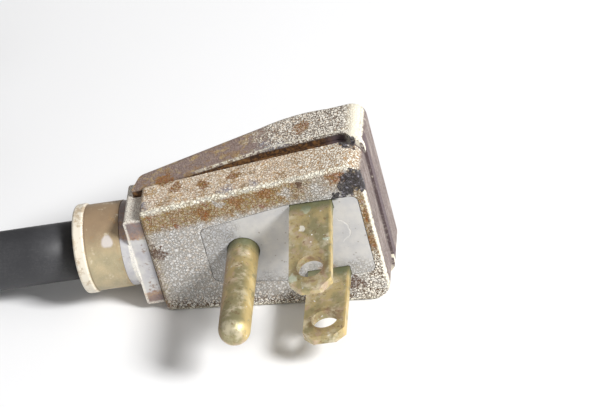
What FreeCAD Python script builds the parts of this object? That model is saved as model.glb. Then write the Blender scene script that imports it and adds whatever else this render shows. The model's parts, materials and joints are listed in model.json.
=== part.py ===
"""Shore power cord: right-angle 15 A plug, 25 ft of round cord wound into a coil, moulded connector."""

import FreeCAD, Part
import math
import os

V = FreeCAD.Vector
AXIS_X = V(1, 0, 0)
AXIS_Y = V(0, 1, 0)
AXIS_Z = V(0, 0, 1)

# The plug is drawn in its own frame: the prong face is the plane y = 0, the prongs point along -Y,
# +X runs from the cord to the nose, and the two flat blades stand at x = 0, one each side of z = 0.

# Prongs, to the 15 A grounding pattern
blade_width = 6.35
blade_thickness = 1.5
blade_spacing = 12.7
blade_length = 16.2
blade_tip_chamfer = 1.8
blade_hole_radius = 2.0
blade_hole_from_face = 11.9
line_blade_bend = 15.0  # degrees, towards the other blade
blade_bend_start = 1.2  # straight length left outside the face before the bend
blade_bend_radius = 3.0
pin_radius = 2.4
pin_length = 21.0
pin_from_blades = 11.9
pin_neck_step = 0.1  # the pin's radius narrows by this much on its way through the face
pin_neck_gap = 0.2  # its full diameter stops this far outside the face
pin_shank_step = 0.5  # and it is this much thicker inside the carrier
pin_shank_start = 0.9
pin_flange_step = 0.5
blade_tip_bevel = 0.35

# Two-part housing
housing_length = 34.5
nose_x = 8.5
cord_end_margin = 5.0  # housing beside the cord, at its cord end
half_width_at_nose = 13.05
base_height = 6.4  # face to parting line
housing_wall = 1.3
face_wall = 1.3
roof_wall = 1.6
nose_corner = 3.0
cord_end_corner = 0.8
face_edge_round = 0.6
joint_gap = 0.1  # between pieces that are put together and stay still
running_gap = 0.05  # radial, round everything that turns or slides in a hole
seated_gap = 0.02  # round what is pressed into place
weld = 0.3  # overlap of shapes that are joined into one piece
past = 1.0  # how far a cut goes beyond the surface it opens
far = 40.0  # beyond the whole plug, for cuts with no end
rim_from_cord_end = 3.0
rim_root = 1.0  # the rim starts this far below the parting line
rim_rise = 3.3  # and ends this far above it, higher than the notch

# Cover: its outline seen from the side
cover_overhang = 1.6  # past the base at the cord end
cover_nose_step = 0.25
cover_end_height = 11.3  # top of the cover at the cord end, from the face
cover_top_height = 17.0
cover_crown_rise = 1.05  # crown above the end of the slope
cover_slope_end = 18.0  # from the cord end
cover_flat_start = 29.0  # from the cord end
cover_edge_round = 1.8
cover_nose_round = 2.6
nose_groove_height = 1.1  # gap between base and cover across the nose
nose_groove_half_width = 10.2
cover_crown_margin = 0.5  # least roof over the posts and cups
grip_notch_start = 1.4  # from the cord end; the tapered finger notch in each side of the cover
grip_notch_mid_x = -7.5
grip_notch_mid_rise = 2.5
grip_notch_rise = 2.7
grip_notch_nose_margin = 1.5

# Blade carrier: the smooth middle of the face
carrier_nose_margin = 1.5
carrier_half_width = 7.2
carrier_taper_x = -4.0
carrier_cord_x = -17.5
carrier_cord_half_width = 4.9
carrier_height = 6.0
carrier_corner = 1.0
carrier_flange = 1.0
carrier_flange_height = 1.5
carrier_lip_set_back = 2.0  # the lip stops this far before the taper's end
barrier_half_width = 0.8
barrier_rise = 5.6  # above the carrier
barrier_pin_gap = 0.3
barrier_nose_margin = 2.2
barrier_wall = 1.0

# Terminals
terminal_plate = 1.2
strand_radius = 0.8
clamp_plate = 0.8
terminal_screw_radius = 1.4
terminal_head_radius = 2.15
terminal_head_height = 1.7
terminal_screw_bite = 3.0  # how far the screw goes into the carrier
terminal_screw_gap = 0.2
screw_tip_room = 0.6
screw_tip_bevel = 0.35
screw_slot_half_width = 0.35
screw_head_round = 0.3
terminal_x = 0.6
terminal_z = 3.35
terminal_foot_back_x = -6.4
terminal_foot_front_x = 2.9
terminal_foot_inner_z = 1.2
clamp_back_reach = 5.8
ground_clamp_back_reach = 3.6
clamp_front_reach = 2.2
clamp_half_width = 2.05

# Cover screws, one in each nose corner
cover_screw_from_nose = 3.9
cover_screw_from_wall = 2.45  # measured at the nose
cover_screw_radius = 1.25
cover_screw_head_radius = 2.2
cover_screw_head_height = 1.6
cover_screw_recess = 3.0  # from the cover's top to the screw's seat
cover_screw_tip = 4.2  # height above the face
counterbore_gap = 0.2
boss_wall = 0.65
seat_cup_wall = 0.9
seat_floor = 1.4

# Cord grip: end plate with a threaded spigot, rubber bushing, slip washer and nut
cord_radius = 4.5
cord_axis_height = 6.0
plate_thickness = 2.8
plate_side_margin = 1.5
plate_bottom = 0.5
plate_top = 9.6
plate_corner = 0.5
shoulder_length = 1.4
shoulder_step = 0.75  # wider than the spigot
spigot_length = 4.0
spigot_wall = 1.25
seat_depth = 2.0
seat_lip = 0.3
neck_wall = 1.1
neck_floor_gap = 0.15
neck_start = 0.5  # inside the plate
neck_top = 9.9
inner_flange = 1.2
inner_flange_step = 0.6
inner_flange_drop = 0.3
wire_bore_gap = 0.56
jacket_set_back = 0.5
nut_length = 7.3
nut_wall = 0.85
nut_rim_step = 0.25
nut_rim_length = 1.8
nut_rim_round = 0.4
nut_end_wall = 1.2
nut_mouth_gap = 0.25
washer_thickness = 0.6
washer_bore_gap = 0.3
washer_edge_gap = 0.15

# Conductors
wire_radius = 1.5
wire_pitch_radius = 1.16 * wire_radius  # from the cord's middle to each conductor's, three just clear
wire_end_shift = 0.25  # the side strands lie this far outside their screw's middle
wire_exit = 0.4  # straight length past the inner flange
wire_spread_run = 5.0
wire_lead = (6.0, 3.0, 1.0)  # where the side conductors turn, before their stripped ends
ground_wire_rise = 2.0
strip_gap = 2.0  # from a side clamp plate to the insulation
ground_strip_gap = 0.3
strand_end_gap = 0.5  # between the strands' ends and the screw

# Cord, in the row frame: the surface is z = 0
coil_x = -123.4
coil_y = 59.7
coil_inner_turn = 45.0
coil_turn_gap = 0.03
coil_turns_wide = 4
coil_layers = 5
coil_edge_round = 3.5
cord_first_run = 24.4  # straight out of the nut, along the plug's axis
cord_run_points = [(-69.0, 4.5, 4.5), (-92.9, -5.64, 4.5)]
cord_tail_points = [
    (-104.4, 18.9, 49.7),
    (-126.9, 8.4, 49.7),
    (-151.8, 8.7, 49.9),
    (-174.0, 19.8, 50.3),
    (-189.3, 39.3, 50.9),
    (-194.6, 63.5, 51.7),
    (-189.0, 87.9, 53.3),
    (-173.4, 107.0, 56.2),
]
cord_tail_straight = 24.5  # along the connector's axis, into its strain relief
arc_share = 0.45  # of the shorter run beside a corner

# Hook-and-loop tie round the coil
tie_width = 18.0
tie_thickness = 1.5
tie_gap = 0.3
tie_slack = 1.2  # in the coil's hole
tie_corner = 2.1

# Moulded connector on the far end, drawn with its face at x = 0 and its cord along -X
connector_axis_y = 118.2
connector_face_x = -64.5
connector_radius = 16.5
connector_half_height = 14.0
connector_body_length = 34.0
connector_shoulder_length = 12.0
connector_neck_step = 3.1  # wider than the cord
connector_lip = 3.1  # round the face
connector_edge_round = 1.5
connector_face_thickness = 3.0
connector_face_chamfer = 0.3
grip_rings = 6
grip_ring_start = 8.0
grip_ring_pitch = 4.2
grip_ring_width = 1.6
grip_ring_depth = 0.7
slot_gap = 0.7  # a slot is this much wider than a blade is thick
line_slot_gap = 0.85
neutral_slot_gap = 2.25
socket_gap = 0.35
pocket_gap = 1.0  # a contact's pocket is this much longer than its slot
pocket_width = 4.6
ground_pocket_wall = 1.2
contact_pocket_depth = 17.0
contact_leaf = 0.7
contact_pinch = 0.1  # the leaves stand this much closer than a blade is thick
contact_wall_gap = 0.25
contact_side_gap = 0.4
ground_slit = 1.0
relief_length = 24.0
relief_bore = 8.0  # how far the cord goes into it
relief_end_step = 1.5
relief_grooves = 5
relief_groove_width = 1.4
relief_groove_depth = 0.8
coil_rest_gap = 0.3

cord_end_x = nose_x - housing_length
half_width_at_cord_end = cord_radius + cord_end_margin
slope = (half_width_at_nose - half_width_at_cord_end) / housing_length
lie_angle = math.degrees(math.atan(slope))  # the plug lies on one tapered side
pin_shank_radius = pin_radius + pin_shank_step
pin_flange_radius = pin_shank_radius + pin_flange_step
rim_top = base_height + rim_rise
cover_slope_end_x = cord_end_x + cover_slope_end
cover_slope_end_height = cover_top_height - cover_crown_rise
cover_flat_start_x = cord_end_x + cover_flat_start
carrier_nose_x = nose_x - carrier_nose_margin
barrier_top = carrier_height + barrier_rise
terminal_screw_tip = carrier_height - terminal_screw_bite
cover_screw_x = nose_x - cover_screw_from_nose
cover_screw_z = half_width_at_nose - housing_wall - cover_screw_from_wall
cover_screw_seat = cover_top_height - cover_screw_recess
boss_radius = cover_screw_radius + boss_wall
seat_cup_radius = cover_screw_head_radius + seat_cup_wall
seat_cup_bottom = cover_screw_seat - seat_floor
post_top = cover_top_height - cover_crown_margin
plate_x = cord_end_x - plate_thickness
plate_half_width = half_width_at_cord_end - plate_side_margin
shoulder_x = plate_x - shoulder_length
spigot_end_x = shoulder_x - spigot_length
spigot_radius = cord_radius + spigot_wall
shoulder_radius = spigot_radius + shoulder_step
seat_inner_x = spigot_end_x + seat_depth
seat_mouth_radius = spigot_radius - seat_lip
neck_half_width = cord_radius + neck_wall
neck_bottom = face_wall + neck_floor_gap
wire_bore_radius = wire_pitch_radius + wire_radius + wire_bore_gap
jacket_end_x = cord_end_x - jacket_set_back
nut_end_x = shoulder_x - nut_length
nut_radius = spigot_radius + nut_wall
nut_rim_radius = nut_radius + nut_rim_step
connector_neck_radius = cord_radius + connector_neck_step
connector_face_radius = connector_radius - connector_lip
relief_end_radius = cord_radius + relief_end_step
slot_width = blade_thickness + slot_gap
line_slot_length = blade_width + line_slot_gap
neutral_slot_length = blade_width + neutral_slot_gap
ground_socket_radius = pin_radius + socket_gap
contact_gap = blade_thickness - contact_pinch
coil_layer_pitch = 2 * cord_radius
coil_turn_pitch = 2 * cord_radius + coil_turn_gap
coil_height = coil_layers * coil_layer_pitch
coil_outer_turn = coil_inner_turn + (coil_turns_wide - 1) * coil_turn_pitch
coil_outer_radius = coil_outer_turn + cord_radius
coil_hole_radius = coil_inner_turn - cord_radius
blade_inner_z = blade_spacing / 2 - blade_thickness / 2
blade_outer_z = blade_spacing / 2 + blade_thickness / 2
foot_top = carrier_height + terminal_plate
clamp_bottom = foot_top + 2 * strand_radius
clamp_top = clamp_bottom + clamp_plate
base_end_inner_x = cord_end_x + housing_wall + joint_gap
window_depth = face_wall + past


def half_width(x):
    """Half the housing's width at x."""
    return half_width_at_cord_end + slope * (x - cord_end_x)


def box(x0, x1, y0, y1, z0, z1):
    return Part.makeBox(x1 - x0, y1 - y0, z1 - z0, V(x0, y0, z0))


def rod_y(x, z, radius, y0, y1):
    return Part.makeCylinder(radius, y1 - y0, V(x, y0, z), AXIS_Y)


def rod_x(radius, x0, x1):
    """A cylinder on the cord's axis, between two places along it."""
    return Part.makeCylinder(radius, x1 - x0, V(x0, cord_axis_height, 0), AXIS_X)


def cone_x(radius0, radius1, x0, x1):
    return Part.makeCone(radius0, radius1, x1 - x0, V(x0, cord_axis_height, 0), AXIS_X)


def polygon(points):
    return Part.Face(Part.makePolygon([*points, points[0]]))


def upright_edges(shape, wanted):
    """The straight edges along Y whose middle passes the test."""
    found = []
    for edge in shape.Edges:
        ends = [vertex.Point for vertex in edge.Vertexes]
        if len(ends) == 2 and (ends[1] - ends[0]).cross(AXIS_Y).Length < 1e-6:
            if wanted((ends[0] + ends[1]) * 0.5):
                found.append(edge)
    return found


def joined(first, *others):
    """One clean solid from pieces that touch or overlap."""
    shape = first.fuse(list(others)).removeSplitter()
    return shape.Solids[0] if len(shape.Solids) == 1 else shape


def tapered_prism(inset, end_x, front_x, y0, y1):
    """The housing's plan, moved in by an inset, with rounded corners, between two heights."""
    w_end = half_width(end_x) - inset
    w_front = half_width(front_x) - inset
    plan = [V(end_x, y0, -w_end), V(end_x, y0, w_end), V(front_x, y0, w_front), V(front_x, y0, -w_front)]
    prism = polygon(plan).extrude(V(0, y1 - y0, 0))
    front = upright_edges(prism, lambda p: abs(p.x - front_x) < 1e-6)
    prism = prism.makeFillet(max(nose_corner - inset, 0.5), front)
    back = upright_edges(prism, lambda p: abs(p.x - end_x) < 1e-6)
    return prism.makeFillet(max(cord_end_corner - inset, 0.3), back)


def side_outline(drop, end_x, front_x, bottom):
    """The cover seen from the side, its top lowered by drop: end slant, slope, crown and nose."""
    slant_foot = V(end_x, bottom, 0)
    slant_knee = V(end_x + 0.55 * cover_overhang, cover_end_height - drop - 2.0, 0)
    slope_start = V(end_x + 1.35 * cover_overhang, cover_end_height - drop, 0)
    slope_end = V(cover_slope_end_x, cover_slope_end_height - drop, 0)
    crown = V(cover_flat_start_x, cover_top_height - drop, 0)
    rise = (slope_end - slope_start).normalize()
    middle = slope_end + rise * ((crown.x - slope_end.x) / 2)
    middle.y = (middle.y + crown.y) / 2
    top = cover_top_height - drop
    nose_round = cover_nose_round
    lean = nose_round * (1 - math.sqrt(0.5))
    round_start = V(front_x - nose_round, top, 0)
    round_middle = V(front_x - lean, top - lean, 0)
    round_end = V(front_x, top - nose_round, 0)
    foot = V(front_x, bottom, 0)
    edges = [
        Part.LineSegment(slant_foot, slant_knee).toShape(),
        Part.LineSegment(slant_knee, slope_start).toShape(),
        Part.LineSegment(slope_start, slope_end).toShape(),
        Part.Arc(slope_end, middle, crown).toShape(),
        Part.LineSegment(crown, round_start).toShape(),
        Part.Arc(round_start, round_middle, round_end).toShape(),
        Part.LineSegment(round_end, foot).toShape(),
        Part.LineSegment(foot, slant_foot).toShape(),
    ]
    return Part.Face(Part.Wire(edges))


def side_prism(face, half_depth):
    """A side outline carried across the whole width."""
    face.translate(V(0, 0, -half_depth))
    return face.extrude(V(0, 0, 2 * half_depth))


def both_sides(shape):
    return [shape, shape.mirror(V(0, 0, 0), AXIS_Z)]


def cord_window(y0, y1):
    """The opening that the end plate's neck passes through."""
    reach = neck_half_width + joint_gap
    return box(cord_end_x - 2 * cover_overhang, base_end_inner_x, y0, y1, -reach, reach)


def carrier_outline(grow, y0, y1):
    """The carrier's plan, grown by a clearance or a flange."""
    nose = carrier_nose_x + grow
    cord = carrier_cord_x - grow
    wide = carrier_half_width + grow
    narrow = carrier_cord_half_width + grow
    plan = [(cord, -narrow), (cord, narrow), (carrier_taper_x, wide)]
    plan += [(nose, wide), (nose, -wide), (carrier_taper_x, -wide)]
    prism = polygon([V(x, y0, z) for x, z in plan]).extrude(V(0, y1 - y0, 0))
    corners = upright_edges(prism, lambda p: abs(p.x - carrier_taper_x) > 1e-6)
    return prism.makeFillet(carrier_corner + grow, corners)


def carrier_flange_prism(grow):
    """The lip behind the face that keeps the carrier in, on its cord half only."""
    lip_bottom = face_wall + joint_gap
    lip = carrier_outline(carrier_flange + grow, lip_bottom, lip_bottom + carrier_flange_height)
    return lip.cut(box(carrier_taper_x - carrier_lip_set_back + grow, far, -past, far, -far, far))


def make_plug_base():
    shell = tapered_prism(0, cord_end_x, nose_x, 0, base_height)
    face_edges = [e for e in shell.Edges if max(v.Point.y for v in e.Vertexes) < 1e-6]
    shell = shell.makeFillet(face_edge_round, face_edges)
    cavity_inset = 2 * housing_wall + joint_gap
    cavity = tapered_prism(cavity_inset, base_end_inner_x, nose_x - 2 * housing_wall, face_wall, far)
    rim_inset = housing_wall + joint_gap
    rim_start = cord_end_x + rim_from_cord_end
    rim = tapered_prism(rim_inset, rim_start, nose_x - rim_inset, base_height - rim_root, rim_top)
    bosses = both_sides(rod_y(cover_screw_x, cover_screw_z, boss_radius, face_wall - weld, rim_top))
    base = joined(shell, rim).cut(cavity)
    beside_carrier = carrier_outline(joint_gap, 0, carrier_height + joint_gap)
    base = joined(base, *[boss.cut(beside_carrier) for boss in bosses])
    base = base.cut(carrier_outline(joint_gap, -past, window_depth))
    base = base.cut(cord_window(neck_bottom - joint_gap, far))
    pilot_radius = cover_screw_radius + running_gap
    pilot = rod_y(cover_screw_x, cover_screw_z, pilot_radius, cover_screw_tip - screw_tip_room, far)
    for hole in both_sides(pilot):
        base = base.cut(hole)
    return base.removeSplitter()


def grip_notch():
    """The tapered notch between cover and base, closed by the cover's corner at the nose."""
    foot = base_height - past
    end_round = grip_notch_rise
    end_x = nose_x - grip_notch_nose_margin
    arc_start = V(end_x - end_round, base_height + end_round, 0)
    arc_end = V(end_x, base_height, 0)
    lean = math.sqrt(0.5) * end_round
    arc_middle = V(arc_start.x + lean, base_height + lean, 0)
    start = V(cord_end_x + grip_notch_start, base_height, 0)
    middle = V(grip_notch_mid_x, base_height + grip_notch_mid_rise, 0)
    edges = [
        Part.LineSegment(V(start.x, foot, 0), start).toShape(),
        Part.LineSegment(start, middle).toShape(),
        Part.LineSegment(middle, arc_start).toShape(),
        Part.Arc(arc_start, arc_middle, arc_end).toShape(),
        Part.LineSegment(arc_end, V(end_x, foot, 0)).toShape(),
        Part.LineSegment(V(end_x, foot, 0), V(start.x, foot, 0)).toShape(),
    ]
    return side_prism(Part.Face(Part.Wire(edges)), 2 * half_width_at_nose)


def rounded_cover_block():
    """The cover's outside: the tapered plan under the side outline, its long edges rounded."""
    end_x = cord_end_x - cover_overhang
    front_x = nose_x + cover_nose_step
    parting = base_height + joint_gap
    plan = []
    for x, side in ((end_x, -1), (end_x, 1), (front_x, 1), (front_x, -1)):
        plan.append(V(x, parting, side * half_width(x)))
    block = polygon(plan).extrude(V(0, cover_top_height, 0))
    block = block.common(side_prism(side_outline(0, end_x, front_x, parting), 2 * half_width_at_nose))
    long_edges = []
    for edge in block.Edges:
        middle = edge.valueAt((edge.FirstParameter + edge.LastParameter) / 2)
        on_side = abs(abs(middle.z) - half_width(middle.x)) < 0.02
        if on_side and middle.y > parting + 0.01 and middle.x > end_x + 1.4 * cover_overhang:
            long_edges.append(edge)
    return block.makeFillet(cover_edge_round, long_edges)


def make_plug_cover():
    end_x = cord_end_x - cover_overhang
    front_x = nose_x + cover_nose_step
    cover = rounded_cover_block()
    nose_inner_x = front_x - housing_wall - cover_nose_step
    cavity = tapered_prism(housing_wall, end_x + housing_wall, nose_inner_x, 0, far)
    cavity = cavity.common(side_prism(side_outline(roof_wall, end_x, front_x, 0), 2 * half_width_at_nose))
    cups = both_sides(rod_y(cover_screw_x, cover_screw_z, seat_cup_radius, seat_cup_bottom, post_top))
    posts = both_sides(rod_y(cover_screw_x, cover_screw_z, boss_radius, rim_top + joint_gap, post_top))
    inside = cups[0].fuse([cups[1], *posts]).common(cavity)
    cover = cover.cut(cavity)
    cover = joined(cover, *inside.Solids)
    cover = cover.cut(grip_notch().cut(tapered_prism(housing_wall + joint_gap, end_x, nose_x, 0, far)))
    groove_z = nose_groove_half_width
    groove_top = base_height + joint_gap + nose_groove_height
    groove = box(nose_inner_x - joint_gap, front_x + past, 0, groove_top, -groove_z, groove_z)
    cover = cover.cut(groove)
    cover = cover.cut(cord_window(0, neck_top + joint_gap))
    counterbore_radius = cover_screw_head_radius + counterbore_gap
    counterbore = rod_y(cover_screw_x, cover_screw_z, counterbore_radius, cover_screw_seat, far)
    clearance_hole = rod_y(cover_screw_x, cover_screw_z, cover_screw_radius + running_gap, 0, far)
    for hole in both_sides(counterbore) + both_sides(clearance_hole):
        cover = cover.cut(hole)
    return cover.removeSplitter()


def make_blade_carrier():
    carrier = carrier_outline(0, 0, carrier_height)
    carrier = joined(carrier, carrier_flange_prism(0))
    inner_nose = nose_x - 2 * housing_wall - joint_gap
    carrier = carrier.cut(box(inner_nose, far, window_depth - joint_gap, far, -far, far))
    reach = blade_width / 2 + joint_gap
    for slot in both_sides(box(-reach, reach, -past, far, blade_inner_z - joint_gap, far)):
        carrier = carrier.cut(slot)
    x = -pin_from_blades
    carrier = carrier.cut(rod_y(x, 0, pin_radius + joint_gap, -past, far))
    carrier = carrier.cut(rod_y(x, 0, pin_shank_radius + joint_gap, pin_shank_start - joint_gap, far))
    well_radius = terminal_screw_radius + terminal_screw_gap
    screw_well = rod_y(terminal_x, terminal_z, well_radius, terminal_screw_tip - screw_tip_room, far)
    for hole in both_sides(screw_well):
        carrier = carrier.cut(hole)
    cross_x = -pin_from_blades + pin_flange_radius + barrier_pin_gap
    spine_back = cross_x + barrier_wall
    spine_front = carrier_nose_x - barrier_nose_margin
    low = carrier_height - weld
    spine = box(spine_back, spine_front, low, barrier_top, -barrier_half_width, barrier_half_width)
    half_cross = barrier_half_width + weld
    cross = box(cross_x, spine_back, low, barrier_top, -half_cross, half_cross)
    return joined(carrier, spine, cross)


def straight_blade_end(length):
    """The part of a blade outside the bend: tip corners cut off, hole through it, thinned tip edge."""
    half = blade_width / 2
    plate = box(-half, half, -length, 0, blade_inner_z, blade_outer_z)
    for sign in (-1, 1):
        tip = sign * half
        corner = [
            V(tip, -length, 0),
            V(tip - sign * blade_tip_chamfer, -length, 0),
            V(tip, -length + blade_tip_chamfer, 0),
        ]
        plate = plate.cut(side_prism(polygon(corner), 2 * blade_spacing))
    hole_y = -(length - (blade_length - blade_hole_from_face))
    hole_start = V(0, hole_y, blade_inner_z - blade_thickness)
    hole = Part.makeCylinder(blade_hole_radius, 3 * blade_thickness, hole_start, AXIS_Z)
    plate = plate.cut(hole)
    at_tip = [e for e in plate.Edges if all(abs(v.Point.y + length) < 1e-6 for v in e.Vertexes)]
    long_edges = [e for e in at_tip if abs(e.Length - blade_thickness) > 1e-3]
    return plate.makeChamfer(blade_tip_bevel, long_edges)


def blade(bend):
    """A blade at +Z with its inner foot: straight through the carrier, then bent by an angle."""
    half = blade_width / 2
    leg = box(-half, half, -blade_bend_start, foot_top, blade_inner_z, blade_outer_z)
    foot_z = (terminal_foot_inner_z, blade_inner_z + weld)
    foot = box(terminal_foot_back_x, terminal_foot_front_x, carrier_height, foot_top, *foot_z)
    foot = foot.cut(rod_y(terminal_x, terminal_z, terminal_screw_radius + running_gap, 0, far))
    arc_length = (blade_bend_radius + blade_thickness / 2) * math.radians(bend)
    end = straight_blade_end(blade_length - blade_bend_start - arc_length)
    end.translate(V(0, -blade_bend_start, 0))
    pieces = [leg, foot]
    if bend:
        pivot = V(0, -blade_bend_start, blade_inner_z - blade_bend_radius)
        y = -blade_bend_start
        corners = [V(-half, y, blade_inner_z), V(half, y, blade_inner_z)]
        corners += [V(half, y, blade_outer_z), V(-half, y, blade_outer_z)]
        pieces.append(polygon(corners).revolve(pivot, AXIS_X, bend))
        end.rotate(pivot, AXIS_X, bend)
    pieces.append(end)
    return joined(*pieces)


def make_ground_pin():
    x = -pin_from_blades
    straight = rod_y(x, 0, pin_radius, -(pin_length - pin_radius), -pin_neck_gap)
    neck_length = pin_neck_gap + pin_shank_start
    neck = Part.makeCone(pin_radius, pin_radius - pin_neck_step, neck_length, V(x, -pin_neck_gap, 0), AXIS_Y)
    shank = rod_y(x, 0, pin_shank_radius, pin_shank_start, carrier_height)
    nose = Part.makeSphere(pin_radius, V(x, -(pin_length - pin_radius), 0))
    flange = rod_y(x, 0, pin_flange_radius, carrier_height, foot_top)
    pin = joined(straight, nose, neck, shank, flange)
    hole_start = terminal_screw_tip - screw_tip_room
    return pin.cut(rod_y(x, 0, terminal_screw_radius + running_gap, hole_start, far))


def slotted_screw(x, z, radius, tip, seat, head_radius, head_height):
    """A screw with its head seated at one height and its tip at another, driven along -Y."""
    shank = rod_y(x, z, radius, tip, seat)
    shank = shank.makeChamfer(screw_tip_bevel, [e for e in shank.Edges if e.BoundBox.YMax < tip + 1e-6])
    head = rod_y(x, z, head_radius, seat, seat + head_height)
    top = seat + head_height
    head = head.makeFillet(screw_head_round, [e for e in head.Edges if e.BoundBox.YMin > top - 1e-6])
    half_slot = screw_slot_half_width
    slot = box(x - far, x + far, seat + head_height / 2, top + past, z - half_slot, z + half_slot)
    return joined(shank, head.cut(slot))


def terminal_screw(x, z):
    return slotted_screw(
        x,
        z,
        terminal_screw_radius,
        terminal_screw_tip,
        clamp_top,
        terminal_head_radius,
        terminal_head_height,
    )


def clamp(x, z, back_reach):
    """The plate under a terminal screw's head, which presses the strands down."""
    low = z - clamp_half_width
    high = z + clamp_half_width
    plate = box(x - back_reach, x + clamp_front_reach, clamp_bottom, clamp_top, low, high)
    return plate.cut(rod_y(x, z, terminal_screw_radius + running_gap, 0, far))


def cover_screw(z):
    return slotted_screw(
        cover_screw_x,
        z,
        cover_screw_radius,
        cover_screw_tip,
        cover_screw_seat,
        cover_screw_head_radius,
        cover_screw_head_height,
    )


def make_end_plate():
    reach = plate_half_width
    plate = box(plate_x, cord_end_x - joint_gap, plate_bottom, plate_top, -reach, reach)
    uprights = upright_edges(plate, lambda p: p.x < plate_x + 1e-6)
    plate = plate.makeFillet(plate_corner, uprights)
    overhang_x = cord_end_x - cover_overhang - joint_gap
    plate = plate.cut(box(overhang_x, 0, base_height - joint_gap, far, -far, far))
    flange_x = base_end_inner_x + joint_gap
    half = neck_half_width
    neck = box(plate_x + neck_start, flange_x + weld, neck_bottom, neck_top, -half, half)
    wide = neck_half_width + inner_flange_step
    flange_top = neck_top - inner_flange_drop
    flange = box(flange_x, flange_x + inner_flange, neck_bottom, flange_top, -wide, wide)
    shoulder = rod_x(shoulder_radius, shoulder_x, plate_x + weld)
    spigot = rod_x(spigot_radius, spigot_end_x, shoulder_x)
    body = joined(plate, neck, flange, shoulder, spigot)
    body = body.cut(rod_x(cord_radius + joint_gap, spigot_end_x - past, jacket_end_x + joint_gap))
    body = body.cut(rod_x(wire_bore_radius, plate_x, 0))
    body = body.cut(cone_x(seat_mouth_radius, cord_radius + joint_gap, spigot_end_x, seat_inner_x))
    return body


def make_grip_bushing():
    tail = seat_mouth_radius - seated_gap
    back = nut_end_x + nut_end_wall + washer_thickness + 2 * running_gap
    cylinder = rod_x(tail, back, spigot_end_x)
    cone = cone_x(tail, cord_radius + joint_gap - seated_gap, spigot_end_x, seat_inner_x)
    return joined(cylinder, cone).cut(rod_x(cord_radius + seated_gap, back - past, seat_inner_x + past))


def make_slip_washer():
    x0 = nut_end_x + nut_end_wall + running_gap
    ring = rod_x(spigot_radius - washer_edge_gap, x0, x0 + washer_thickness)
    return ring.cut(rod_x(cord_radius + washer_bore_gap, x0 - past, x0 + 2 * past))


def make_grip_nut():
    barrel = rod_x(nut_radius, nut_end_x + nut_rim_length - weld, shoulder_x - running_gap)
    rim = rod_x(nut_rim_radius, nut_end_x, nut_end_x + nut_rim_length)
    around = 2 * math.pi * nut_rim_radius
    rim = rim.makeFillet(nut_rim_round, [e for e in rim.Edges if abs(e.Length - around) < 0.1])
    nut = joined(barrel, rim)
    nut = nut.cut(rod_x(spigot_radius + running_gap, nut_end_x + nut_end_wall, shoulder_x))
    return nut.cut(rod_x(cord_radius + nut_mouth_gap, nut_end_x - past, shoulder_x))


def route(points):
    """Straight runs joined by tangent arcs; gives the wire and the arcs' radii."""
    edges = []
    radii = []
    last = points[0]
    for before, corner, after in zip(points, points[1:], points[2:]):
        arriving = (corner - before).normalize()
        leaving = (after - corner).normalize()
        turn = arriving.getAngle(leaving)
        reach = arc_share * min((corner - before).Length, (after - corner).Length)
        radius = reach / math.tan(turn / 2)
        inward = (leaving - arriving).normalize()
        centre = corner + inward * (radius / math.cos(turn / 2))
        start = corner - arriving * reach
        finish = corner + leaving * reach
        edges.append(Part.LineSegment(last, start).toShape())
        edges.append(Part.Arc(start, centre - inward * radius, finish).toShape())
        radii.append(radius)
        last = finish
    edges.append(Part.LineSegment(last, points[-1]).toShape())
    return Part.Wire(edges), radii


def tube(points, radius):
    """A round tube along a route, with its length and tightest bend."""
    path, radii = route(points)
    heading = (points[1] - points[0]).normalize()
    profile = Part.Wire([Part.makeCircle(radius, points[0], heading)])
    solid = path.makePipeShell([profile], True, False)
    return solid, path.Length, radii


def wire_middle(angle):
    """A conductor's middle inside the cord, by its angle round the cord's axis."""
    y = cord_axis_height + wire_pitch_radius * math.cos(math.radians(angle))
    z = wire_pitch_radius * math.sin(math.radians(angle))
    return y, z


def side_wire():
    """The conductor at +Z, from the jacket's end past the ground terminal to its clamp."""
    y, z = wire_middle(60)
    level = foot_top + strand_radius
    strip_x = terminal_x - clamp_back_reach - strip_gap
    side_z = pin_flange_radius + wire_radius + joint_gap
    end_z = terminal_z + wire_end_shift
    points = [
        V(jacket_end_x, y, z),
        V(base_end_inner_x + inner_flange + wire_exit, y, z),
        V(base_end_inner_x + wire_spread_run, level, side_z - 2 * joint_gap),
        V(strip_x - wire_lead[0], level, side_z),
        V(strip_x - wire_lead[1], level, side_z - joint_gap / 2),
        V(strip_x - wire_lead[2], level, end_z),
        V(strip_x, level, end_z),
    ]
    insulation = tube(points, wire_radius)[0]
    tip_x = terminal_x - terminal_screw_radius - strand_end_gap
    strands = Part.makeCylinder(strand_radius, tip_x - strip_x, points[-1], AXIS_X)
    return insulation, strands


def ground_wire():
    """The conductor at the bottom of the cord, up to the clamp on the pin."""
    y, z = wire_middle(180)
    level = foot_top + strand_radius
    strip_x = -pin_from_blades - ground_clamp_back_reach - ground_strip_gap
    points = [
        V(jacket_end_x, y, z),
        V(base_end_inner_x + inner_flange + wire_exit + past, y, z),
        V(strip_x - ground_wire_rise, level, z),
        V(strip_x, level, z),
    ]
    insulation = tube(points, wire_radius)[0]
    tip_x = -pin_from_blades - terminal_screw_radius - strand_end_gap
    strands = Part.makeCylinder(strand_radius, tip_x - strip_x, V(strip_x, level, z), AXIS_X)
    return insulation, strands


def tie_loop(grow):
    """The strap's space round the coil's bundle, on the coil's +X side."""
    half = tie_width / 2 + grow
    x0 = coil_x + coil_hole_radius - tie_gap - tie_thickness - tie_slack
    x1 = coil_x + coil_outer_radius + tie_gap + tie_thickness
    top = coil_height + tie_gap + tie_thickness
    return box(x0, x1, coil_y - half, coil_y + half, 0, top)


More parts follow.
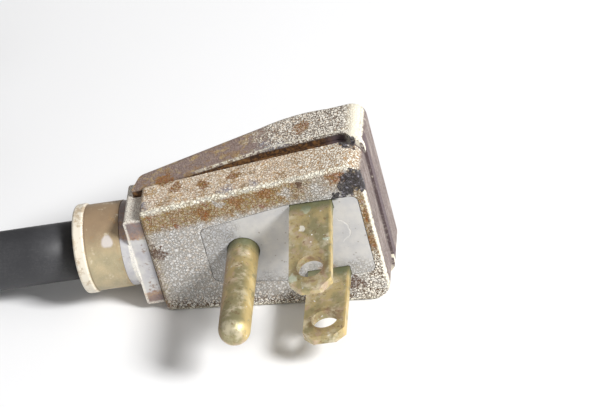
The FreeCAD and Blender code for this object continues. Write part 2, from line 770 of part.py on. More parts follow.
def make_cord_tie():
    outer = tie_loop(0)
    b = outer.BoundBox
    outer = outer.makeFillet(tie_corner, [e for e in outer.Edges if abs(e.Length - tie_width) < 1e-6])
    t = tie_thickness
    inner = box(b.XMin + t, b.XMax - t, b.YMin - past, b.YMax + past, t, b.ZMax - t)
    inner_width = tie_width + 2 * past
    inner = inner.makeFillet(tie_corner - t, [e for e in inner.Edges if abs(e.Length - inner_width) < 1e-6])
    return outer.cut(inner)


def make_cord_coil():
    centre = V(coil_x, coil_y, 0)
    ring = Part.makeCylinder(coil_outer_radius, coil_height, centre)
    ring = ring.cut(Part.makeCylinder(coil_hole_radius, coil_height, centre))
    ring = ring.makeFillet(coil_edge_round, [e for e in ring.Edges if len(e.Vertexes) == 1])
    under = tie_loop(tie_gap)
    b = under.BoundBox
    low = box(b.XMin, b.XMax, b.YMin, b.YMax, -past, tie_thickness + tie_gap)
    under = under.common(low)
    return ring.cut(under)


def connector_frame(shape):
    """From the connector's own frame to its place on top of the coil, facing +X."""
    height = coil_height + coil_rest_gap + connector_half_height
    shape.translate(V(connector_face_x, connector_axis_y, height))
    return shape


def axial(radius, x0, x1):
    return Part.makeCylinder(radius, x1 - x0, V(x0, 0, 0), AXIS_X)


def connector_body_end():
    return -(connector_body_length + connector_shoulder_length)


def slot_box(side, length, width, x0, x1):
    """A slot through the face: side +1 is line, -1 is neutral; the slots stand upright in the row."""
    y = side * blade_spacing / 2
    z = pin_from_blades / 2
    return box(x0, x1, y - width / 2, y + width / 2, z - length / 2, z + length / 2)


def ground_socket(radius, x0, x1):
    return Part.makeCylinder(radius, x1 - x0, V(x0, 0, -pin_from_blades / 2), AXIS_X)


def make_connector_body():
    barrel = axial(connector_radius, -connector_body_length, 0)
    front_edge = [e for e in barrel.Edges if e.BoundBox.XMin > -1e-6 and len(e.Vertexes) == 1]
    barrel = barrel.makeFillet(connector_edge_round, front_edge)
    shoulder = Part.makeCone(
        connector_neck_radius,
        connector_radius,
        connector_shoulder_length,
        V(connector_body_end(), 0, 0),
        AXIS_X,
    )
    h = connector_half_height
    flats = box(connector_body_end() - past, past, -far, far, -h, h)
    body = joined(barrel, shoulder).common(flats)
    depth = connector_face_thickness + contact_pocket_depth
    body = body.cut(axial(connector_face_radius + joint_gap, -connector_face_thickness - joint_gap, past))
    for side, length in ((1, line_slot_length), (-1, neutral_slot_length)):
        body = body.cut(slot_box(side, length + pocket_gap, pocket_width, -depth, 0))
    body = body.cut(ground_socket(ground_socket_radius + ground_pocket_wall, -depth, 0))
    grips = []
    half = grip_ring_width / 2
    for i in range(grip_rings):
        x = -grip_ring_start - grip_ring_pitch * i
        ring = axial(connector_radius + past, x - half, x + half)
        grips.append(ring.cut(axial(connector_radius - grip_ring_depth, x - past, x + past)))
    return body.cut(grips).removeSplitter()


def make_connector_face():
    face = axial(connector_face_radius, -connector_face_thickness, 0)
    face = face.makeChamfer(connector_face_chamfer, [e for e in face.Edges if e.BoundBox.XMin > -1e-6])
    for side, length in ((1, line_slot_length), (-1, neutral_slot_length)):
        face = face.cut(slot_box(side, length, slot_width, -far, past))
    return face.cut(ground_socket(ground_socket_radius, -far, past))


def blade_contact(side, length):
    """Two spring leaves joined at the back."""
    front = -connector_face_thickness - contact_wall_gap - joint_gap
    back = -connector_face_thickness - contact_pocket_depth + contact_wall_gap
    inside = slot_box(side, length + 2 * past, contact_gap, back + contact_leaf, past)
    leaves = slot_box(side, length + contact_side_gap, contact_gap + 2 * contact_leaf, back, front)
    return leaves.cut(inside)


def make_ground_contact():
    """A split tube that grips the round pin."""
    front = -connector_face_thickness - contact_wall_gap - joint_gap
    back = -connector_face_thickness - contact_pocket_depth + contact_wall_gap
    sleeve = ground_socket(pin_radius + contact_leaf, back, front)
    sleeve = sleeve.cut(ground_socket(pin_radius + seated_gap, back + contact_leaf, past))
    z = -pin_from_blades / 2
    slit = ground_slit / 2
    return sleeve.cut(box(back + 2 * contact_leaf, past, -slit, slit, z, z + far))


def make_connector_relief():
    """Tapered, grooved strain relief behind the connector's shoulder."""
    front = connector_body_end()
    relief_back = front - relief_length
    start = V(relief_back, 0, 0)
    relief = Part.makeCone(relief_end_radius, connector_neck_radius, relief_length, start, AXIS_X)
    narrowing = (connector_neck_radius - relief_end_radius) / (relief_grooves + 1)
    step = relief_length / (relief_grooves + 1)
    half = relief_groove_width / 2
    grooves = []
    for i in range(1, relief_grooves + 1):
        x = front - step * i
        ring = axial(connector_neck_radius + past, x - half, x + half)
        floor = connector_neck_radius - narrowing * i - relief_groove_depth
        grooves.append(ring.cut(axial(floor, x - 2 * half, x + 2 * half)))
    bore = axial(cord_radius + seated_gap, relief_back - past, relief_back + relief_bore)
    return relief.cut(grooves).cut(bore)


def plug_pieces():
    line_insulation, line_strands = side_wire()
    ground_insulation, ground_strands = ground_wire()
    neutral_insulation = line_insulation.mirror(V(0, 0, 0), AXIS_Z)
    neutral_strands = line_strands.mirror(V(0, 0, 0), AXIS_Z)
    return {
        "plug_base": make_plug_base(),
        "plug_cover": make_plug_cover(),
        "blade_carrier": make_blade_carrier(),
        "line_blade": blade(line_blade_bend),
        "neutral_blade": blade(0).mirror(V(0, 0, 0), AXIS_Z),
        "ground_pin": make_ground_pin(),
        "line_terminal_screw": terminal_screw(terminal_x, terminal_z),
        "neutral_terminal_screw": terminal_screw(terminal_x, -terminal_z),
        "ground_terminal_screw": terminal_screw(-pin_from_blades, 0),
        "line_clamp_plate": clamp(terminal_x, terminal_z, clamp_back_reach),
        "neutral_clamp_plate": clamp(terminal_x, -terminal_z, clamp_back_reach),
        "ground_clamp_plate": clamp(-pin_from_blades, 0, ground_clamp_back_reach),
        "cover_screw_upper": cover_screw(cover_screw_z),
        "cover_screw_lower": cover_screw(-cover_screw_z),
        "cord_end_plate": make_end_plate(),
        "grip_bushing": make_grip_bushing(),
        "slip_washer": make_slip_washer(),
        "grip_nut": make_grip_nut(),
        "jacket_end": rod_x(cord_radius, nut_end_x, jacket_end_x),
        "line_wire": line_insulation,
        "neutral_wire": neutral_insulation,
        "ground_wire": ground_insulation,
        "line_wire_strands": line_strands,
        "neutral_wire_strands": neutral_strands,
        "ground_wire_strands": ground_strands,
    }


def lie_down(pieces):
    """Lay the plug on its lower tapered side, over the origin; gives back the same placement."""
    turn = FreeCAD.Placement(V(0, 0, 0), FreeCAD.Rotation(AXIS_Y, -lie_angle))
    for name in pieces:
        pieces[name] = pieces[name].copy()
        pieces[name].Placement = turn.multiply(pieces[name].Placement)
    whole = Part.makeCompound(list(pieces.values())).optimalBoundingBox(False)
    shift = V(-(whole.XMin + whole.XMax) / 2, -(whole.YMin + whole.YMax) / 2, -whole.ZMin)
    for name in pieces:
        pieces[name].translate(shift)
    return FreeCAD.Placement(shift, turn.Rotation)


def cord_pieces(exit_point, exit_heading):
    height = coil_height + coil_rest_gap + connector_half_height
    tail_end_x = connector_face_x + connector_body_end() - relief_length + relief_bore
    tail_end = V(tail_end_x, connector_axis_y, height)
    into_relief = tail_end - AXIS_X * cord_tail_straight
    first = exit_point + exit_heading * cord_first_run
    run_points = [exit_point, first] + [V(*p) for p in cord_run_points]
    run, run_length, run_radii = tube(run_points, cord_radius)
    tail_points = [V(*p) for p in cord_tail_points] + [into_relief, tail_end]
    tail, tail_length, tail_radii = tube(tail_points, cord_radius)
    section = math.pi * cord_radius**2
    stretches = (("run", run, run_length, run_radii), ("tail", tail, tail_length, tail_radii))
    for name, solid, length, radii in stretches:
        share = solid.Volume / section / length
        print(f"cord {name}: {length:.1f} mm, volume share {share:.4f}, bend radii in mm:")
        print("   ", ", ".join(f"{r:.0f}" for r in radii))
    turns = coil_turns_wide * coil_layers
    coiled = turns * math.pi * (coil_inner_turn + coil_outer_turn)
    whole = coiled + run_length + tail_length
    print(f"cord coil: {turns} turns, {coiled:.0f} mm; whole cord {whole / 1000:.3f} m")
    return {
        "cord_run": run,
        "cord_coil": make_cord_coil(),
        "cord_tail": tail,
        "cord_tie": make_cord_tie(),
        "connector_body": connector_frame(make_connector_body()),
        "connector_face": connector_frame(make_connector_face()),
        "connector_line_contact": connector_frame(blade_contact(1, line_slot_length)),
        "connector_neutral_contact": connector_frame(blade_contact(-1, line_slot_length)),
        "connector_ground_contact": connector_frame(make_ground_contact()),
        "connector_strain_relief": connector_frame(make_connector_relief()),
    }


def main():
    os.makedirs("parts", exist_ok=True)
    pieces = plug_pieces()
    placement = lie_down(pieces)
    exit_point = placement.multVec(V(nut_end_x, cord_axis_height, 0))
    exit_heading = placement.Rotation.multVec(V(-1, 0, 0))
    print("plug frame to row frame:", placement, "cord exit:", exit_point)
    pieces.update(cord_pieces(exit_point, exit_heading))
    for name, shape in pieces.items():
        if not shape.isValid() or not shape.Solids:
            print("not a valid solid:", name)
        if len(shape.Solids) != 1:
            print("solids in", name, len(shape.Solids))
        shape.exportStep(f"parts/{name}.step")
    print(len(pieces), "pieces")


main()
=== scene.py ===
import json
import math

import bmesh
import bpy
import numpy as np
from mathutils import Matrix, Vector


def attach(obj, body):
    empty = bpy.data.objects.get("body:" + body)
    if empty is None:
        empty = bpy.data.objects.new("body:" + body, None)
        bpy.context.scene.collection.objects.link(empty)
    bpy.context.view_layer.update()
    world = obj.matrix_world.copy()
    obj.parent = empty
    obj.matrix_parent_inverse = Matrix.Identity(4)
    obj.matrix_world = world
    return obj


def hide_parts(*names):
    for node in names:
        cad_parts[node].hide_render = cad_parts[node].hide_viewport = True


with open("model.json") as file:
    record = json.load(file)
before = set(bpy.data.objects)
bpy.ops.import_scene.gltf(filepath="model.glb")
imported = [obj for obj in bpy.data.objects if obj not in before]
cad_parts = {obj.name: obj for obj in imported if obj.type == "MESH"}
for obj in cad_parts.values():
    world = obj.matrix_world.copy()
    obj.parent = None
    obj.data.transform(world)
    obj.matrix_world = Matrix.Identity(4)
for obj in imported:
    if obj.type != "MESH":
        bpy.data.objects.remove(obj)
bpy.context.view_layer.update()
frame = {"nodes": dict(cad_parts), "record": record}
nodes = frame["nodes"]
mounts = {m["name"]: m for m in frame["record"]["mounts"]}
mm = 0.001


# the plug's own frame: prong face at y = 0, x from cord to nose, z across the blades, in millimetres
def plugFrame():
    line = Vector(mounts["line_blade"]["pos_m"])
    neutral = Vector(mounts["neutral_blade"]["pos_m"])
    across = (line - neutral).normalized()
    outward = Vector((0, 1, 0))
    along = outward.cross(across).normalized()
    return (line + neutral) / 2, Matrix((along, outward, across)).transposed()


plugOrigin, plugAxes = plugFrame()
plugTilt = math.atan2(plugAxes[0][2], plugAxes[2][2])  # turn about Y from the row's frame


# from the plug's own millimetres to the row's metres
def atPlug(x, y, z):
    return plugOrigin + plugAxes @ (Vector((x, y, z)) * mm)


# camera
cameraSettings = dict(azimuth=12.79, elevation=35.90, roll=-15.59, distance=600.0, lens=238.2,
                      target=(-0.82, 0.0, 7.13))


def makeCamera(s):
    az, el, roll = (math.radians(s[k]) for k in ("azimuth", "elevation", "roll"))
    away = Vector((math.sin(az) * math.cos(el), -math.cos(az) * math.cos(el), math.sin(el)))
    right = Vector((0, 0, 1)).cross(away).normalized()
    up = away.cross(right)
    turnedRight = right * math.cos(roll) + up * math.sin(roll)
    turnedUp = up * math.cos(roll) - right * math.sin(roll)
    data = bpy.data.cameras.new("camera")
    data.lens = s["lens"]
    data.sensor_width = 36.0
    data.clip_end = 20.0
    camera = bpy.data.objects.new("camera", data)
    bpy.context.scene.collection.objects.link(camera)
    axes = plugAxes @ Matrix((turnedRight, turnedUp, away)).transposed()
    stand = atPlug(*(Vector(s["target"]) + away * s["distance"]))
    camera.matrix_world = Matrix.Translation(stand) @ axes.to_4x4()
    bpy.context.scene.camera = camera


makeCamera(cameraSettings)
print("camera placed")


# cord: one line from the grip nut, through the coil, to the connector
cordSettings = dict(
    diameter=9.0, firstRun=24.4, exit=(-37.5, 6.0, 0.0), landing=(-69.0, 4.5, 4.5),
    coilCentre=(-123.4, 59.7), innerTurn=45.0, turnPitch=9.03, turnsWide=4, layers=5, layerPitch=9.0,
    startAngle=-65.0, pointsPerTurn=16, crossover=0.28,
    tieLift=1.6, tieSpread=34.0, lastLift=9.2, lastRise=0.5,
    tail=[(-126.9, 8.4, 49.7), (-151.8, 8.7, 49.9), (-174.0, 19.8, 50.3), (-189.3, 39.3, 50.9),
          (-194.6, 63.5, 51.7), (-189.0, 87.9, 53.3), (-173.4, 107.0, 56.2)],
    tailEnd=(-126.5, 118.2, 59.3), tailStraight=24.5, length=7.65, sides=20, curveSteps=6)


def smooth(share):
    share = np.clip(share, 0, 1)
    return share * share * (3 - 2 * share)


# turns wound in and out, layer on layer: radius and height hold for most of a turn, then ease to the next
def coilPoints(s):
    n, wide = s["pointsPerTurn"], s["turnsWide"]
    turns = wide * s["layers"]
    step = np.arange(0, turns * n + 1) / n
    turn = np.minimum(np.floor(step).astype(int), turns - 1)
    change = smooth((step - turn - 1 + s["crossover"]) / s["crossover"])

    def fromOutside(k):  # every second layer is wound back outwards
        return np.where(k // wide % 2 == 0, k % wide, wide - 1 - k % wide)

    def changing(now, after):
        return now + (after - now) * change

    following = np.minimum(turn + 1, turns - 1)
    outer = s["innerTurn"] + (wide - 1) * s["turnPitch"]
    radius = outer - s["turnPitch"] * changing(fromOutside(turn), fromOutside(following))
    height = s["diameter"] / 2 + s["layerPitch"] * changing(turn // wide, following // wide)
    angle = np.radians(s["startAngle"]) - 2 * np.pi * step
    fromTie = np.degrees(np.abs(np.arctan2(np.sin(angle), np.cos(angle))))
    height = height + s["tieLift"] * smooth(1 - fromTie / s["tieSpread"])  # over the strap
    height = height + s["lastLift"] * smooth(1 - (turns - step) / s["lastRise"])  # up onto the coil
    swell = 1 / (0.75 + 0.25 * math.cos(2 * math.pi / n))  # control points stand outside their curve
    x = s["coilCentre"][0] + radius * swell * np.cos(angle)
    y = s["coilCentre"][1] + radius * swell * np.sin(angle)
    return np.stack([x, y, height], axis=1)


# the route's NURBS line, read back as closely spaced points in metres
def cordLine(s):
    leave = atPlug(*s["exit"]) / mm
    heading = plugAxes @ Vector((-1, 0, 0))
    end = Vector(s["tailEnd"])
    points = [tuple(leave), tuple(leave + heading * s["firstRun"]), s["landing"]]
    points += [tuple(p) for p in coilPoints(s)]
    points += s["tail"] + [tuple(end - Vector((s["tailStraight"], 0, 0))), tuple(end)]
    curve = bpy.data.curves.new("cordRoute", "CURVE")
    curve.dimensions = "3D"
    spline = curve.splines.new("NURBS")
    spline.points.add(len(points) - 1)
    flat = np.ones((len(points), 4), np.float32)
    flat[:, :3] = np.array(points) * mm
    spline.points.foreach_set("co", flat.ravel())
    spline.order_u = 3
    spline.use_endpoint_u = True
    curve.resolution_u = s["curveSteps"]
    route = bpy.data.objects.new("cordRoute", curve)
    bpy.context.scene.collection.objects.link(route)
    bpy.context.view_layer.update()
    line = bpy.data.meshes.new_from_object(route.evaluated_get(bpy.context.evaluated_depsgraph_get()))
    at = np.empty(len(line.vertices) * 3, np.float32)
    line.vertices.foreach_get("co", at)
    bpy.data.objects.remove(route)
    bpy.data.meshes.remove(line)
    return at.reshape(-1, 3).astype(float)


def unit(v):
    return v / np.maximum(np.linalg.norm(v, axis=1, keepdims=True), 1e-12)


# a round section carried along the line: across is level, over is square to both; ends are closed by a point
def makeCord(s):
    line = cordLine(s) / mm
    ahead = unit(np.gradient(line, axis=0))
    across = unit(np.cross(ahead, [0.0, 0.0, 1.0]))
    over = np.cross(across, ahead)
    a = np.linspace(0, 2 * np.pi, s["sides"], endpoint=False)
    r = s["diameter"] / 2
    ring = across[:, None, :] * np.cos(a)[None, :, None] + over[:, None, :] * np.sin(a)[None, :, None]
    grid = line[:, None, :] + ring * r
    caps = [np.repeat(line[i][None, None, :], s["sides"], axis=1) for i in (0, -1)]
    cord = gridMesh("cord", np.concatenate([caps[0], grid, caps[1]]), False, True)
    cleaned(cord)
    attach(cord, "plug")
    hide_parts("cord_run", "cord_coil", "cord_tail")
    return cord


# merge doubled points, drop faces of no area and turn every face outwards
def cleaned(piece):
    work = bmesh.new()
    work.from_mesh(piece.data)
    bmesh.ops.remove_doubles(work, verts=work.verts, dist=1e-7)
    bmesh.ops.recalc_face_normals(work, faces=work.faces)
    work.to_mesh(piece.data)
    work.free()


# tie: a woven hook-and-loop strap round the coil, its end lapped over itself
tieSettings = dict(width=18.0, thickness=1.3, corner=5.0, inside=40.2, outside=76.95, bottom=0.0, top=47.9,
                   lapFrom=0.60, lapTo=0.78, lapRise=1.35, lapRamp=0.02, tabRound=0.035, lapThin=0.85,
                   lapNarrow=0.94, squareAcross=0.35, squareThrough=0.8, loopPoints=240, sectionPoints=20,
                   lapPoints=90, cornerPoints=24)


# a rounded rectangle as points: straight sides and quarter circles, evenly spaced by length
def roundedLoop(x0, x1, z0, z1, r, count, cornerCount):
    corners = [(x1 - r, z0 + r, -90), (x1 - r, z1 - r, 0), (x0 + r, z1 - r, 90), (x0 + r, z0 + r, 180)]
    arcs = []
    for cx, cz, a in corners:
        t = np.radians(np.linspace(a, a + 90, cornerCount))
        arcs.append(np.stack([cx + r * np.cos(t), cz + r * np.sin(t)], axis=1))
    loop = np.concatenate(arcs + [arcs[0][:1]])
    along = np.concatenate([[0], np.cumsum(np.linalg.norm(np.diff(loop, axis=0), axis=1))])
    want = np.linspace(0, along[-1], count + 1)[:-1]
    return np.stack([np.interp(want, along, loop[:, i]) for i in (0, 1)], axis=1)


# a mesh from a (u, v, 3) grid of places in millimetres, with quads between neighbours and a UV map
def gridMesh(name, grid, closedU=False, closedV=False):
    nu, nv = grid.shape[:2]
    iu = np.arange(nu if closedU else nu - 1)
    iv = np.arange(nv if closedV else nv - 1)
    u, v = np.meshgrid(iu, iv, indexing="ij")
    a = u * nv + v
    b = (u + 1) % nu * nv + v
    c = (u + 1) % nu * nv + (v + 1) % nv
    d = u * nv + (v + 1) % nv
    faces = np.stack([a, b, c, d], axis=-1).reshape(-1, 4)
    mesh = bpy.data.meshes.new(name)
    mesh.from_pydata((grid.reshape(-1, 3) * mm).tolist(), [], faces.tolist())
    layer = mesh.uv_layers.new(name="UVMap")
    uu = np.stack([u, u + 1, u + 1, u], axis=-1).reshape(-1) / nu
    vv = np.stack([v, v, v + 1, v + 1], axis=-1).reshape(-1) / nv
    layer.data.foreach_set("uv", np.stack([uu, vv], axis=1).astype(np.float32).ravel())
    mesh.polygons.foreach_set("use_smooth", [True] * len(faces))
    piece = bpy.data.objects.new(name, mesh)
    bpy.context.scene.collection.objects.link(piece)
    return piece


# the strap's section, a flat rounded bar, carried round the rounded loop; a lap stands off near the end
def makeTie(s):
    cx, cy = cordSettings["coilCentre"]
    t, count, section = s["thickness"], s["loopPoints"], s["sectionPoints"]
    loop = roundedLoop(cx + s["inside"] - t / 2, cx + s["outside"] + t / 2, s["bottom"] + t / 2,
                       s["top"] - t / 2, s["corner"], count, s["cornerPoints"])
    ahead = np.roll(loop, -1, axis=0) - np.roll(loop, 1, axis=0)
    ahead /= np.linalg.norm(ahead, axis=1)[:, None]
    normal = np.stack([ahead[:, 1], -ahead[:, 0]], axis=1)
    a = np.linspace(0, 2 * np.pi, section, endpoint=False)
    across = np.sign(np.cos(a)) * np.abs(np.cos(a)) ** s["squareAcross"] * s["width"] / 2
    through = np.sign(np.sin(a)) * np.abs(np.sin(a)) ** s["squareThrough"] * t / 2
    grid = np.zeros((count, section, 3))
    grid[:, :, 0] = loop[:, None, 0] + normal[:, None, 0] * through[None, :]
    grid[:, :, 2] = loop[:, None, 1] + normal[:, None, 1] * through[None, :]
    grid[:, :, 1] = cy + across[None, :]
    strap = gridMesh("cord_tie_strap", grid, True, True)
    cleaned(strap)
    flap = np.linspace(s["lapFrom"], s["lapTo"], s["lapPoints"])
    at = (flap * count).astype(int) % count
    rise = np.clip((flap - s["lapFrom"]) / s["lapRamp"], 0, 1) * s["lapRise"]
    toTip = np.clip((flap - s["lapTo"] + s["tabRound"]) / s["tabRound"], 0, 1)
    tabWidth = np.sqrt(np.clip(1 - toTip ** 2, 0.001, 1))  # a rounded tip
    tab = np.zeros((s["lapPoints"], section, 3))
    stand = rise[:, None] + through[None, :] * s["lapThin"]
    tab[:, :, 0] = loop[at, None, 0] + normal[at, None, 0] * stand
    tab[:, :, 2] = loop[at, None, 1] + normal[at, None, 1] * stand
    tab[:, :, 1] = cy + across[None, :] * s["lapNarrow"] * tabWidth[:, None]
    caps = [np.repeat(tab[i].mean(axis=0)[None, None, :], section, axis=1) for i in (0, -1)]
    lap = gridMesh("cord_tie_lap", np.concatenate([caps[0], tab, caps[1]]), False, True)
    cleaned(lap)
    for piece in (strap, lap):
        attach(piece, "plug")
    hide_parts("cord_tie")
    return strap, lap


tie, tieLap = makeTie(tieSettings)
cord = makeCord(cordSettings)
print("cord and tie laid")


# helpers for materials
def addNode(tree, kind, settings=None, **inputs):
    node = tree.nodes.new(kind)
    for key, value in (settings or {}).items():
        setattr(node, key, value)
    for key, value in inputs.items():
        setInput(tree, node.inputs[key], value)
    return node


def setInput(tree, socket, value):
    if isinstance(value, bpy.types.NodeSocket):
        tree.links.new(value, socket)
    elif isinstance(value, (tuple, list)) and len(value) == 3 and socket.type == "RGBA":
        socket.default_value = (*value, 1.0)
    else:
        socket.default_value = value


def calc(tree, operation, *values):
    node = addNode(tree, "ShaderNodeMath", dict(operation=operation))
    for socket, value in zip(node.inputs, values):
        setInput(tree, socket, value)
    return node.outputs[0]


def calcVector(tree, operation, a, b=None, scale=None):
    node = addNode(tree, "ShaderNodeVectorMath", dict(operation=operation))
    setInput(tree, node.inputs[0], a)
    if b is not None:
        setInput(tree, node.inputs[1], b)
    if scale is not None:
        setInput(tree, node.inputs["Scale"], scale)
    return node.outputs["Value"] if operation == "DISTANCE" else node.outputs[0]


# smooth step of a value between two limits
def ease(tree, value, low, high, start=0.0, end=1.0):
    node = addNode(tree, "ShaderNodeMapRange", dict(interpolation_type="SMOOTHSTEP"))
    limits = {"Value": value, "From Min": low, "From Max": high, "To Min": start, "To Max": end}
    for key, limit in limits.items():
        setInput(tree, node.inputs[key], limit)
    return node.outputs["Result"]


def mix(tree, factor, a, b, blend="MIX"):
    node = addNode(tree, "ShaderNodeMix", dict(data_type="RGBA", blend_type=blend, clamp_factor=True))
    setInput(tree, node.inputs[0], factor)
    setInput(tree, node.inputs[6], a)
    setInput(tree, node.inputs[7], b)
    return node.outputs[2]


def noise(tree, vector, scale, detail=3.0, roughness=0.55, output=0):
    node = addNode(tree, "ShaderNodeTexNoise", Vector=vector, Scale=scale, Detail=detail, Roughness=roughness)
    return node.outputs[output]


# the largest of several masks
def maskOf(tree, *masks):
    whole = masks[0]
    for other in masks[1:]:
        whole = calc(tree, "MAXIMUM", whole, other)
    return whole


# the product of several masks
def both(tree, *masks):
    whole = masks[0]
    for other in masks[1:]:
        whole = calc(tree, "MULTIPLY", whole, other)
    return whole


def without(tree, mask):
    return calc(tree, "SUBTRACT", 1.0, mask)


# rises between the first two limits and falls between the last two
def band(tree, value, riseFrom, riseTo, fallFrom, fallTo):
    return both(tree, ease(tree, value, riseFrom, riseTo), ease(tree, value, fallTo, fallFrom))


# soft round spots: 1 at each centre, 0 at its radius and beyond
def patches(tree, vector, places):
    found = []
    for x, y, z, radius in places:
        away = calcVector(tree, "DISTANCE", vector, (x, y, z))
        found.append(ease(tree, away, radius, radius * 0.35))
    return maskOf(tree, *found)


def moved(tree, vector, x, y, z):
    return calcVector(tree, "ADD", vector, (x, y, z))


def stretched(tree, vector, x, y, z):
    return calcVector(tree, "MULTIPLY", vector, (x, y, z))


# the place pushed about by a noise, by up to half of reach each way
def warped(tree, vector, reach, *grain):
    push = calcVector(tree, "SUBTRACT", noise(tree, vector, *grain, output=1), (0.5, 0.5, 0.5))
    return calcVector(tree, "ADD", vector, calcVector(tree, "SCALE", push, scale=reach))


def newGroup(name, inputs, outputs):
    group = bpy.data.node_groups.new(name, "ShaderNodeTree")
    for label, kind, value in inputs:
        socket = group.interface.new_socket(label, in_out="INPUT", socket_type=kind)
        if value is not None:
            socket.default_value = value
    for label, kind in outputs:
        group.interface.new_socket(label, in_out="OUTPUT", socket_type=kind)
    return group, group.nodes.new("NodeGroupInput"), group.nodes.new("NodeGroupOutput")


def place(tree, group, **inputs):
    node = tree.nodes.new("ShaderNodeGroup")
    node.node_tree = group
    for key, value in inputs.items():
        setInput(tree, node.inputs[key], value)
    return node


valueSocket, vectorSocket, colorSocket = "NodeSocketFloat", "NodeSocketVector", "NodeSocketColor"


# leather-like pebbles: cells of a warped Voronoi pattern, cut again by the contour lines of a noise
def makePebbleGroup():
    g, given, out = newGroup("pebbleGrain", [("Vector", vectorSocket, None), ("Spacing", valueSocket, 0.6)],
                             [("Height", valueSocket), ("Crest", valueSocket)])
    vector, spacing = given.outputs[:2]
    wavy = warped(g, vector, 1.1, 1.1, 2.0)
    scale = calc(g, "DIVIDE", 1.0, spacing)
    cells = addNode(g, "ShaderNodeTexVoronoi", dict(feature="DISTANCE_TO_EDGE"), Vector=wavy, Scale=scale)
    worms = noise(g, wavy, calc(g, "DIVIDE", 0.55, spacing), 1.0, 0.5)
    fromLine = calc(g, "ABSOLUTE", calc(g, "SUBTRACT", worms, 0.5))
    crest = both(g, ease(g, cells.outputs["Distance"], 0.015, 0.15), ease(g, fromLine, 0.0, 0.022, 0.25, 1.0))
    uneven = noise(g, vector, 2.0, 2.0)
    small = noise(g, vector, 7.0, 2.0)
    height = calc(g, "ADD", both(g, crest, calc(g, "ADD", 0.5, uneven)), both(g, small, 0.2))
    g.links.new(height, out.inputs["Height"])
    g.links.new(crest, out.inputs["Crest"])
    return g


rustColors = dict(gold=(0.58, 0.36, 0.11), orange=(0.42, 0.17, 0.04), brown=(0.24, 0.085, 0.026),
                  soot=(0.085, 0.045, 0.030))


# rust and soot: where Amount beats a ragged noise a stain shows, gold at its rim and dark inside
def makeRustGroup(s):
    g, given, out = newGroup("rustStain", [("Vector", vectorSocket, None), ("Amount", valueSocket, 0.5),
                                           ("Size", valueSocket, 1.0)],
                             [("Mask", valueSocket), ("Color", colorSocket), ("Height", valueSocket)])
    vector, amount, size = given.outputs[:3]
    broad = noise(g, vector, calc(g, "DIVIDE", 0.30, size), 6.0, 0.68)
    fine = noise(g, vector, calc(g, "DIVIDE", 2.4, size), 4.0, 0.7)
    ragged = calc(g, "ADD", both(g, broad, 0.75), both(g, fine, 0.45))
    level = calc(g, "SUBTRACT", calc(g, "ADD", amount, ragged), 1.02)
    mask = ease(g, level, -0.06, 0.20)
    depth = ease(g, level, 0.12, 0.55)
    tone = noise(g, vector, calc(g, "DIVIDE", 1.1, size), 5.0, 0.65)
    warm = mix(g, ease(g, tone, 0.36, 0.62), s["gold"], s["orange"])
    dark = mix(g, ease(g, tone, 0.34, 0.66), s["brown"], s["soot"])
    g.links.new(mask, out.inputs["Mask"])
    g.links.new(mix(g, depth, warm, dark), out.inputs["Color"])
    g.links.new(both(g, mask, fine, 0.6), out.inputs["Height"])
    return g


# slow changes of tone and small dark specks, for any aged surface
def makeBlotchGroup():
    g, given, out = newGroup("agedTone", [("Vector", vectorSocket, None), ("Size", valueSocket, 1.0)],
                             [("Tone", valueSocket), ("Speck", valueSocket), ("Fine", valueSocket)])
    vector, size = given.outputs[:2]
    tone = ease(g, noise(g, vector, calc(g, "DIVIDE", 0.22, size), 5.0, 0.6), 0.32, 0.68)
    dots = addNode(g, "ShaderNodeTexVoronoi", dict(feature="F1"), Vector=vector,
                   Scale=calc(g, "DIVIDE", 0.62, size), Randomness=1.0)
    sizes = noise(g, vector, calc(g, "DIVIDE", 1.3, size), 2.0)
    speck = ease(g, calc(g, "SUBTRACT", dots.outputs["Distance"], both(g, sizes, 0.26)), 0.06, -0.02)
    fine = noise(g, vector, calc(g, "DIVIDE", 5.0, size), 4.0, 0.7)
    for name, value in (("Tone", tone), ("Speck", speck), ("Fine", fine)):
        g.links.new(value, out.inputs[name])
    return g


# fine scuffs: long thin streaks of noise, stretched along one way
def makeScratchGroup():
    g, given, out = newGroup("scuffs", [("Vector", vectorSocket, None), ("Stretch", vectorSocket, None)],
                             [("Mask", valueSocket)])
    vector, stretch = given.outputs[:2]
    streak = noise(g, calcVector(g, "MULTIPLY", vector, stretch), 1.0, 5.0, 0.75)
    patchy = noise(g, vector, 0.3, 2.0)
    g.links.new(both(g, ease(g, streak, 0.58, 0.66), ease(g, patchy, 0.45, 0.6)), out.inputs["Mask"])
    return g


pebbleGrain = makePebbleGroup()
rustStain = makeRustGroup(rustColors)
agedTone = makeBlotchGroup()
scuffs = makeScratchGroup()


def newMaterial(name):
    material = bpy.data.materials.new(name)
    material.use_nodes = True
    tree = material.node_tree
    tree.nodes.clear()
    shader = tree.nodes.new("ShaderNodeBsdfPrincipled")
    output = tree.nodes.new("ShaderNodeOutputMaterial")
    tree.links.new(shader.outputs[0], output.inputs[0])
    return material, tree, shader


# the place on the plug in its own millimetres, whole and as x, y, z
def plugPlace(tree):
    at = tree.nodes.new("ShaderNodeTexCoord").outputs["Object"]
    mapping = addNode(tree, "ShaderNodeMapping", dict(vector_type="TEXTURE"), Vector=at)
    mapping.inputs["Location"].default_value = plugOrigin
    mapping.inputs["Rotation"].default_value = (0.0, plugTilt, 0.0)
    mapping.inputs["Scale"].default_value = (mm, mm, mm)
    vector = mapping.outputs[0]
    split = addNode(tree, "ShaderNodeSeparateXYZ", Vector=vector)
    return vector, *split.outputs


# the place in the row's own frame, in millimetres
def rowPlace(tree):
    at = tree.nodes.new("ShaderNodeTexCoord").outputs["Object"]
    return calcVector(tree, "SCALE", at, scale=1000.0)


